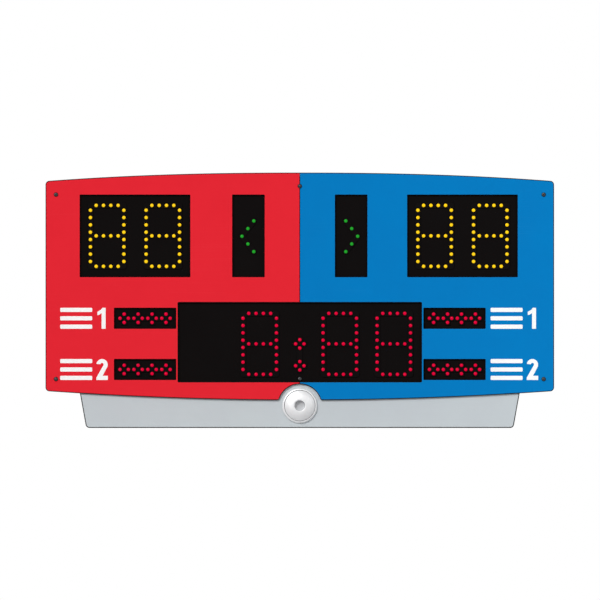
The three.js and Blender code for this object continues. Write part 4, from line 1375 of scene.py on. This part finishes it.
# From the middle of the dish over its lip and the dome to the seat. The dome gets steeper outwards
def capProfile(front, seat):
    s = sounder
    bend, dishBend, slope, steps = s["capBend"], s["dishBend"], s["capSlope"], s["domeSteps"]
    edge, lip = s["capRadius"] - bend, s["dishRadius"] + bend
    stride = (edge - lip) / steps
    dome = [(edge, front)]
    for k in range(steps, 0, -1):
        rise = stride * math.tan(math.radians(slope) * (k - 0.5) / steps)
        radius, y = dome[0]
        dome.insert(0, (radius - stride, y - rise))
    top = dome[0][1]
    floor = top + s["dishDepth"]
    dish = arc(s["dishRadius"] - dishBend, floor - dishBend, dishBend, 90, 0, 6)
    return ([(0, floor + s["dishHollow"])] + dish + arc(lip, top + bend, bend, 180, 270, 4)
            + dome[1:] + arc(edge, front + bend, bend, -slope - 10, 0, 4)
            + [(s["capRadius"], seat), (0, seat)])


# What lies inside the shaded radius gets the darker silver, painted shade in the dish and the
# recess
def makeTurned(name, profile, shaded):
    mesh = bmesh.new()
    turnBody(mesh, profile, sounder["centre"], sounder["sides"])
    for face in mesh.faces:
        middle = face.calc_center_median() - Vector(sounder["centre"])
        face.material_index = int(math.hypot(middle.x, middle.z) < shaded - 0.00001)
    dress(newPiece(name, mesh, ["satin silver", "dish silver with painted shade"]), [name])


def makeSounder():
    s = sounder
    front, bend, chamfer = -s["flange"], s["round"], s["recessChamfer"]
    seat = front + s["recess"]
    body = ([(0, s["boreDepth"]), (s["bore"], s["boreDepth"]), (s["bore"], seat),
             (s["recessRadius"], seat), (s["recessRadius"], front + chamfer),
             (s["recessRadius"] + chamfer, front)]
            + arc(s["radius"] - bend, front + bend, bend, -90, 0, 8)
            + [(s["radius"], 0), (s["barrel"], 0), (s["barrel"], s["barrelLength"]),
               (0, s["barrelLength"])])
    makeTurned("sounder_body", body, s["recessRadius"])
    makeTurned("sounder_cap", capProfile(front, seat), s["dishRadius"])


makeSounder()
print("sounder is made")


# Inlet, switch and sockets on the cover

inlet = {
    "x": cover["inlet"][0], "z": cover["footZ"], "y": cover["outerY"],
    "flange": (0.031, 0.025, 0.002),  # width, height, depth
    "flangeCorner": 0.002,
    "body": (0.027, 0.020, 0.020),
    "bodyCorner": 0.001,
    "chamfer": 0.0005,
    "mouth": (0.024, 0.016, 0.016),
    "mouthCut": 0.004,
    "mouthChamfer": 0.0004,
    "blade": (0.002, 0.004, 0.009),
    "bladeCorner": 0.0003,
    "bladeChamfer": 0.0006,
    "bladeSunk": 0.0004,
    "blades": [(-0.007, -0.003), (0.0, 0.003), (0.007, -0.003)],
}


# A mouth with its two lower corners cut off
def inletMouth(x, z, width, height):
    half, tall, cut = width / 2, height / 2, inlet["mouthCut"]
    return [(x - half, z + tall), (x - half, z - tall + cut), (x - half + cut, z - tall),
            (x + half - cut, z - tall), (x + half, z - tall + cut), (x + half, z + tall)]


def makeInlet():
    x, z, y = inlet["x"], inlet["z"], inlet["y"]
    flangeWide, flangeTall, flangeDeep = inlet["flange"]
    bodyWide, bodyTall, bodyDeep = inlet["body"]
    mouthWide, mouthTall, mouthDeep = inlet["mouth"]
    bladeWide, bladeTall, bladeDeep = inlet["blade"]
    chamfer = inlet["chamfer"]
    outer, back = y + flangeDeep, y - bodyDeep
    floor = outer - mouthDeep
    flange = roundedBox(x, z, flangeWide, flangeTall, inlet["flangeCorner"])
    body = roundedBox(x, z, bodyWide, bodyTall, inlet["bodyCorner"])
    mouth = inletMouth(x, z, mouthWide, mouthTall)
    mesh = bmesh.new()
    fillBody(mesh, [(flange, straight(y, outer, chamfer)),
                    (mouth, straight(y, outer, inlet["mouthChamfer"]))])
    fillBody(mesh, [(body, straight(floor, y)), (mouth, straight(floor, y))])
    fillBody(mesh, [(body, [(chamfer, back), (0, back + chamfer), (0, floor)])])
    path = straight(floor - inlet["bladeSunk"], floor + bladeDeep, inlet["bladeChamfer"])
    for right, up in inlet["blades"]:
        blade = roundedBox(x + right, z + up, bladeWide, bladeTall, inlet["bladeCorner"],
                           steps=2)
        fillBody(mesh, [(blade, path)], sideSlot=1, faceSlot=1)
    piece = newPiece("power_inlet", mesh, ["black plastic", "brass"])
    dress(piece, ["power_inlet"])


makeInlet()

switch = {
    "x": cover["switch"][0], "z": cover["footZ"], "y": cover["outerY"],
    "bezel": (0.015, 0.021, 0.002),  # width, height, depth
    "bezelCorner": 0.0012,
    "bezelChamfer": 0.0006,
    "body": (0.0128, 0.0192, 0.014),
    "bodyCorner": 0.0006,
    "wall": 0.001,
    "well": 0.007,
    "wellChamfer": 0.0003,
    "pivotY": 0.036,
    "gap": 0.0003,  # between rocker and well
    "halfTall": 0.0076,
    "endRise": 0.0034,
    "middleRise": 0.0022,
    "keelHalf": 0.0015,
    "keelDrop": 0.0036,
    "edgeDrop": 0.0005,
    "rockerChamfer": 0.0003,
    "markUp": 0.0042,
    "markRise": (-0.0002, 0.0001),  # from inside the rocker to just above it
    "onMark": (0.0006, 0.0032),
    "onCorner": 0.0001,
    "offMark": (0.0015, 0.0010),
    "tilt": -8.0,
}


def makeSwitch():
    x, z, y = switch["x"], switch["z"], switch["y"]
    bezelWide, bezelTall, bezelDeep = switch["bezel"]
    bodyWide, bodyTall, bodyDeep = switch["body"]
    wall, corner = 2 * switch["wall"], switch["bodyCorner"]
    outer, floor = y + bezelDeep, y - switch["well"]
    bezel = roundedBox(x, z, bezelWide, bezelTall, switch["bezelCorner"])
    body = roundedBox(x, z, bodyWide, bodyTall, corner, steps=3)
    well = roundedBox(x, z, bodyWide - wall, bodyTall - wall, corner, steps=3)
    mesh = bmesh.new()
    fillBody(mesh, [(bezel, straight(y, outer, switch["bezelChamfer"])),
                    (well, straight(y, outer, switch["wellChamfer"]))])
    fillBody(mesh, [(body, straight(floor, y)), (well, straight(floor, y))])
    fillBody(mesh, [(body, straight(y - bodyDeep, floor))])
    dress(newPiece("switch_frame", mesh, ["black plastic"]), ["switch_frame"])


# How far the rocker's hollow face stands out at a height above or below its pivot
def rockerRise(up):
    middle, end = switch["middleRise"], switch["endRise"]
    return middle + (end - middle) * (up / switch["halfTall"]) ** 2


# The body of the rocker, drawn level about its pivot from one side to the other
def rockerBody(mesh):
    half = switch["body"][0] / 2 - switch["wall"] - switch["gap"]
    tall, chamfer, steps = switch["halfTall"], switch["rockerChamfer"], 12
    keel, drop, edge = switch["keelHalf"], -switch["keelDrop"], -switch["edgeDrop"]
    heights = [tall * k / steps for k in range(-steps, steps + 1)]
    outline = faced([(rockerRise(up), up) for up in heights]
                    + [(edge, tall), (drop, keel), (drop, -keel), (edge, -tall)], True)
    rings = []
    for across, inset in ((-half, chamfer), (chamfer - half, 0), (half - chamfer, 0),
                          (half, chamfer)):
        rings.append([mesh.verts.new((across, out, up)) for out, up in inward(outline, inset)])
    for near, far in zip(rings, rings[1:]):
        bridge(mesh, near, far)
    for ring in (rings[0], rings[-1]):
        mesh.faces.new(ring)


# The marks for on and off, drawn flat and then laid on the hollow face
def rockerMarks(mesh):
    plain = len(mesh.verts)
    markUp, path = switch["markUp"], straight(*switch["markRise"])
    onMark = roundedBox(0, markUp, *switch["onMark"], switch["onCorner"], steps=2)
    offMark = [circle(0, -markUp, radius, sides=24) for radius in switch["offMark"]]
    fillBody(mesh, [(onMark, path)], sideSlot=1, faceSlot=1)
    fillBody(mesh, [(loop, path) for loop in offMark], sideSlot=1, faceSlot=1)
    for vert in list(mesh.verts)[plain:]:
        vert.co.y += rockerRise(vert.co.z)


def makeRocker():
    mesh = bmesh.new()
    rockerBody(mesh)
    rockerMarks(mesh)
    tipped = Matrix.Rotation(math.radians(switch["tilt"]), 4, "X")
    pivot = (switch["x"], switch["pivotY"], switch["z"])
    mesh.transform(Matrix.Translation(pivot) @ tipped)
    piece = newPiece("switch_rocker", mesh, ["black plastic", "white print"])
    dress(piece, ["switch_rocker"], "rocker")


makeSwitch()
makeRocker()

socket = {
    "z": cover["footZ"], "y": cover["outerY"],
    "ring": 0.011,
    "ringHeight": 0.0025,
    "ringChamfer": 0.0005,
    "teeth": 36,
    "toothDepth": 0.00035,
    "barrel": 0.008,
    "barrelLength": 0.015,
    "bore": 0.0062,
    "boreDepth": 0.012,
    "chamfer": 0.0004,  # of bore, barrel and pins
    "liner": 0.0055,
    "linerHeight": 0.0043,
    "linerChamfer": 0.0003,
    "notchWidth": 0.00144,
    "notchDepth": 0.0012,
    "pins": 4,
    "pinCircle": 0.003,
    "pinRadius": 0.0008,
    "pinHeight": 0.0082,
}


def knurled(x, z, radius):
    teeth = 2 * socket["teeth"]
    points = []
    for k in range(teeth):
        turn = 2 * math.pi * k / teeth
        reach = radius - (socket["toothDepth"] if k % 2 else 0)
        points.append((x + reach * math.cos(turn), z + reach * math.sin(turn)))
    return points


# The round liner has a notch at its top, so that a plug fits one way only
def linerLoop(x, z):
    radius, half = socket["liner"], socket["notchWidth"] / 2
    low = z + radius - socket["notchDepth"]
    return arc(x, z, radius, 100, 440, 36) + [(x + half, low), (x - half, low)]


def makeSocket(name, x):
    z, y, chamfer = socket["z"], socket["y"], socket["chamfer"]
    outer, back = y + socket["ringHeight"], y - socket["barrelLength"]
    floor = outer - socket["boreDepth"]
    ring = knurled(x, z, socket["ring"])
    bore = circle(x, z, socket["bore"], sides=40)
    barrel = circle(x, z, socket["barrel"], sides=40)
    mesh = bmesh.new()
    fillBody(mesh, [(ring, straight(y, outer, socket["ringChamfer"])),
                    (bore, straight(y, outer, chamfer))])
    fillBody(mesh, [(barrel, straight(floor, y)), (bore, straight(floor, y))])
    fillBody(mesh, [(barrel, [(chamfer, back), (0, back + chamfer), (0, floor)])])
    linerPath = straight(floor, floor + socket["linerHeight"], socket["linerChamfer"])
    fillBody(mesh, [(linerLoop(x, z), linerPath)], sideSlot=1, faceSlot=1)
    for k in range(socket["pins"]):
        turn = 2 * math.pi * (k + 0.5) / socket["pins"]
        pin = circle(x + socket["pinCircle"] * math.cos(turn),
                     z + socket["pinCircle"] * math.sin(turn), socket["pinRadius"], sides=12)
        fillBody(mesh, [(pin, straight(floor, floor + socket["pinHeight"], chamfer))],
                 sideSlot=2, faceSlot=2)
    piece = newPiece(name, mesh, ["plated steel", "black plastic", "brass"])
    dress(piece, [name])


for name, x in zip(("controller_socket_left", "controller_socket_right"), cover["socketX"]):
    makeSocket(name, x)
print("inlet, switch and sockets are made")


# Carrying handle

handle = {
    "pivot": (0.0, 0.047, 0.262),
    "halfSpan": 0.062,
    "drop": 0.050,
    "bend": 0.011,
    "end": 0.090,  # of the rod, from the middle
    "rod": 0.0035,
    "sides": 32,
    "gripHalf": 0.042,
    "gripRadius": 0.0063,
    "gripRound": 0.0012,
    "bore": 0.00387,
    "ribCount": 19,
    "ribRadius": 0.00075,
    "ribMargin": 0.0045,  # plain length at each end of the grip
    "bracketX": 0.0815,
    "bracketWidth": 0.014,
    "bracketHalfTall": 0.0095,
    "reach": 0.010,  # of a bracket, from its bore to the cover
    "chamfer": 0.0009,
    "boreChamfer": 0.0003,
}


def handleRoute():
    span, drop, bend, end = handle["halfSpan"], handle["drop"], handle["bend"], handle["end"]
    corners = [(-end, 0), (-span, 0), (-span, -drop), (span, -drop), (span, 0), (end, 0)]
    route = [corners[0]]
    for before, corner, after in zip(corners, corners[1:], corners[2:]):
        first, last = [Vector(corner) + (Vector(other) - Vector(corner)).normalized() * bend
                       for other in (before, after)]
        route += bendTo(first, corner, last, 12)
    route.append(corners[-1])
    pivotX, pivotY, pivotZ = handle["pivot"]
    return [(pivotX + x, pivotY, pivotZ + z) for x, z in route]


def makeHandle():
    curve = bpy.data.curves.new("carry_handle", "CURVE")
    curve.dimensions = "3D"
    curve.bevel_depth = handle["rod"]
    curve.bevel_resolution = handle["sides"] // 4 - 1
    curve.use_fill_caps = True
    route = handleRoute()
    spline = curve.splines.new("POLY")
    spline.points.add(len(route) - 1)
    for point, place in zip(spline.points, route):
        point.co = (*place, 1)
    line = addObject("handle_line", curve)
    graph = bpy.context.evaluated_depsgraph_get()
    mesh = bmesh.new()
    mesh.from_mesh(bpy.data.meshes.new_from_object(line.evaluated_get(graph)))
    bpy.data.objects.remove(line)
    bmesh.ops.remove_doubles(mesh, verts=mesh.verts, dist=1e-6)
    for face in mesh.faces:
        face.smooth = len(face.verts) == 4
    piece = newPiece("carry_handle", mesh, ["plated steel"], sharp=40)
    dress(piece, ["carry_handle"], "handle")


def makeGrip():
    half, radius, bore = handle["gripHalf"], handle["gripRadius"], handle["bore"]
    bend = handle["gripRound"]
    profile = ([(bore, half)] + arc(radius - bend, half - bend, bend, 90, 0, 5)
               + arc(radius - bend, bend - half, bend, 0, -90, 5) + [(bore, -half)])
    mesh = bmesh.new()
    turnBody(mesh, profile, (0, 0, 0), sides=40, closed=True, alongX=True)
    piece = newPiece("handle_grip", mesh, ["black rubber"])
    grow(piece, ribTree, {
        "Length": 2 * (half - handle["ribMargin"]), "Count": handle["ribCount"],
        "Ring Radius": radius, "Rib Radius": handle["ribRadius"],
        "Rubber": finish["black rubber"]})
    x, y, z = handle["pivot"]
    piece.data.transform(Matrix.Translation((x, y, z - handle["drop"])))
    dress(piece, ["handle_grip"], "handle")


# A bracket is drawn facing the front, then turned so that its bore runs along X
def makeBracket(name, x):
    pivotX, pivotY, pivotZ = handle["pivot"]
    tall, reach, half = handle["bracketHalfTall"], handle["reach"], handle["bracketWidth"] / 2
    outline = [(-reach, -tall), *arc(0, 0, tall, -90, 90, 20), (-reach, tall)]
    bore = circle(0, 0, handle["bore"], sides=32)
    loops = []
    for loop, chamfer in ((outline, handle["chamfer"]), (bore, handle["boreChamfer"])):
        loops.append((loop, frontRound(-half, chamfer) + backRound(half, chamfer)))
    mesh = bmesh.new()
    fillBody(mesh, loops)
    turned = Matrix.Rotation(math.radians(90), 4, "Z")
    mesh.transform(Matrix.Translation((pivotX + x, pivotY, pivotZ)) @ turned)
    dress(newPiece(name, mesh, ["black oxide"]), [name])


makeHandle()
makeGrip()
makeBracket("handle_bracket_left", -handle["bracketX"])
makeBracket("handle_bracket_right", handle["bracketX"])
print("carrying handle is made")


# Pieces whose solids stay as they are

kept = {
    "board black": boards,
    "brass": ["sounder_element"],
    "plated steel": ["sounder_nut"],
    "circuit board": ["control_board"],
    "galvanised": ["power_supply"],
    "ribbon cable": ["ribbon_left", "ribbon_right", "ribbon_lower"],
    "black rubber": ["lead_inlet", "lead_switch", "lead_supply", "lead_sounder",
                     "socket_lead_left", "socket_lead_right"],
}

for material, names in kept.items():
    for name in names:
        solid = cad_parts[name].data
        solid.materials.clear()
        solid.materials.append(finish[material])
print("carried-over pieces are painted")
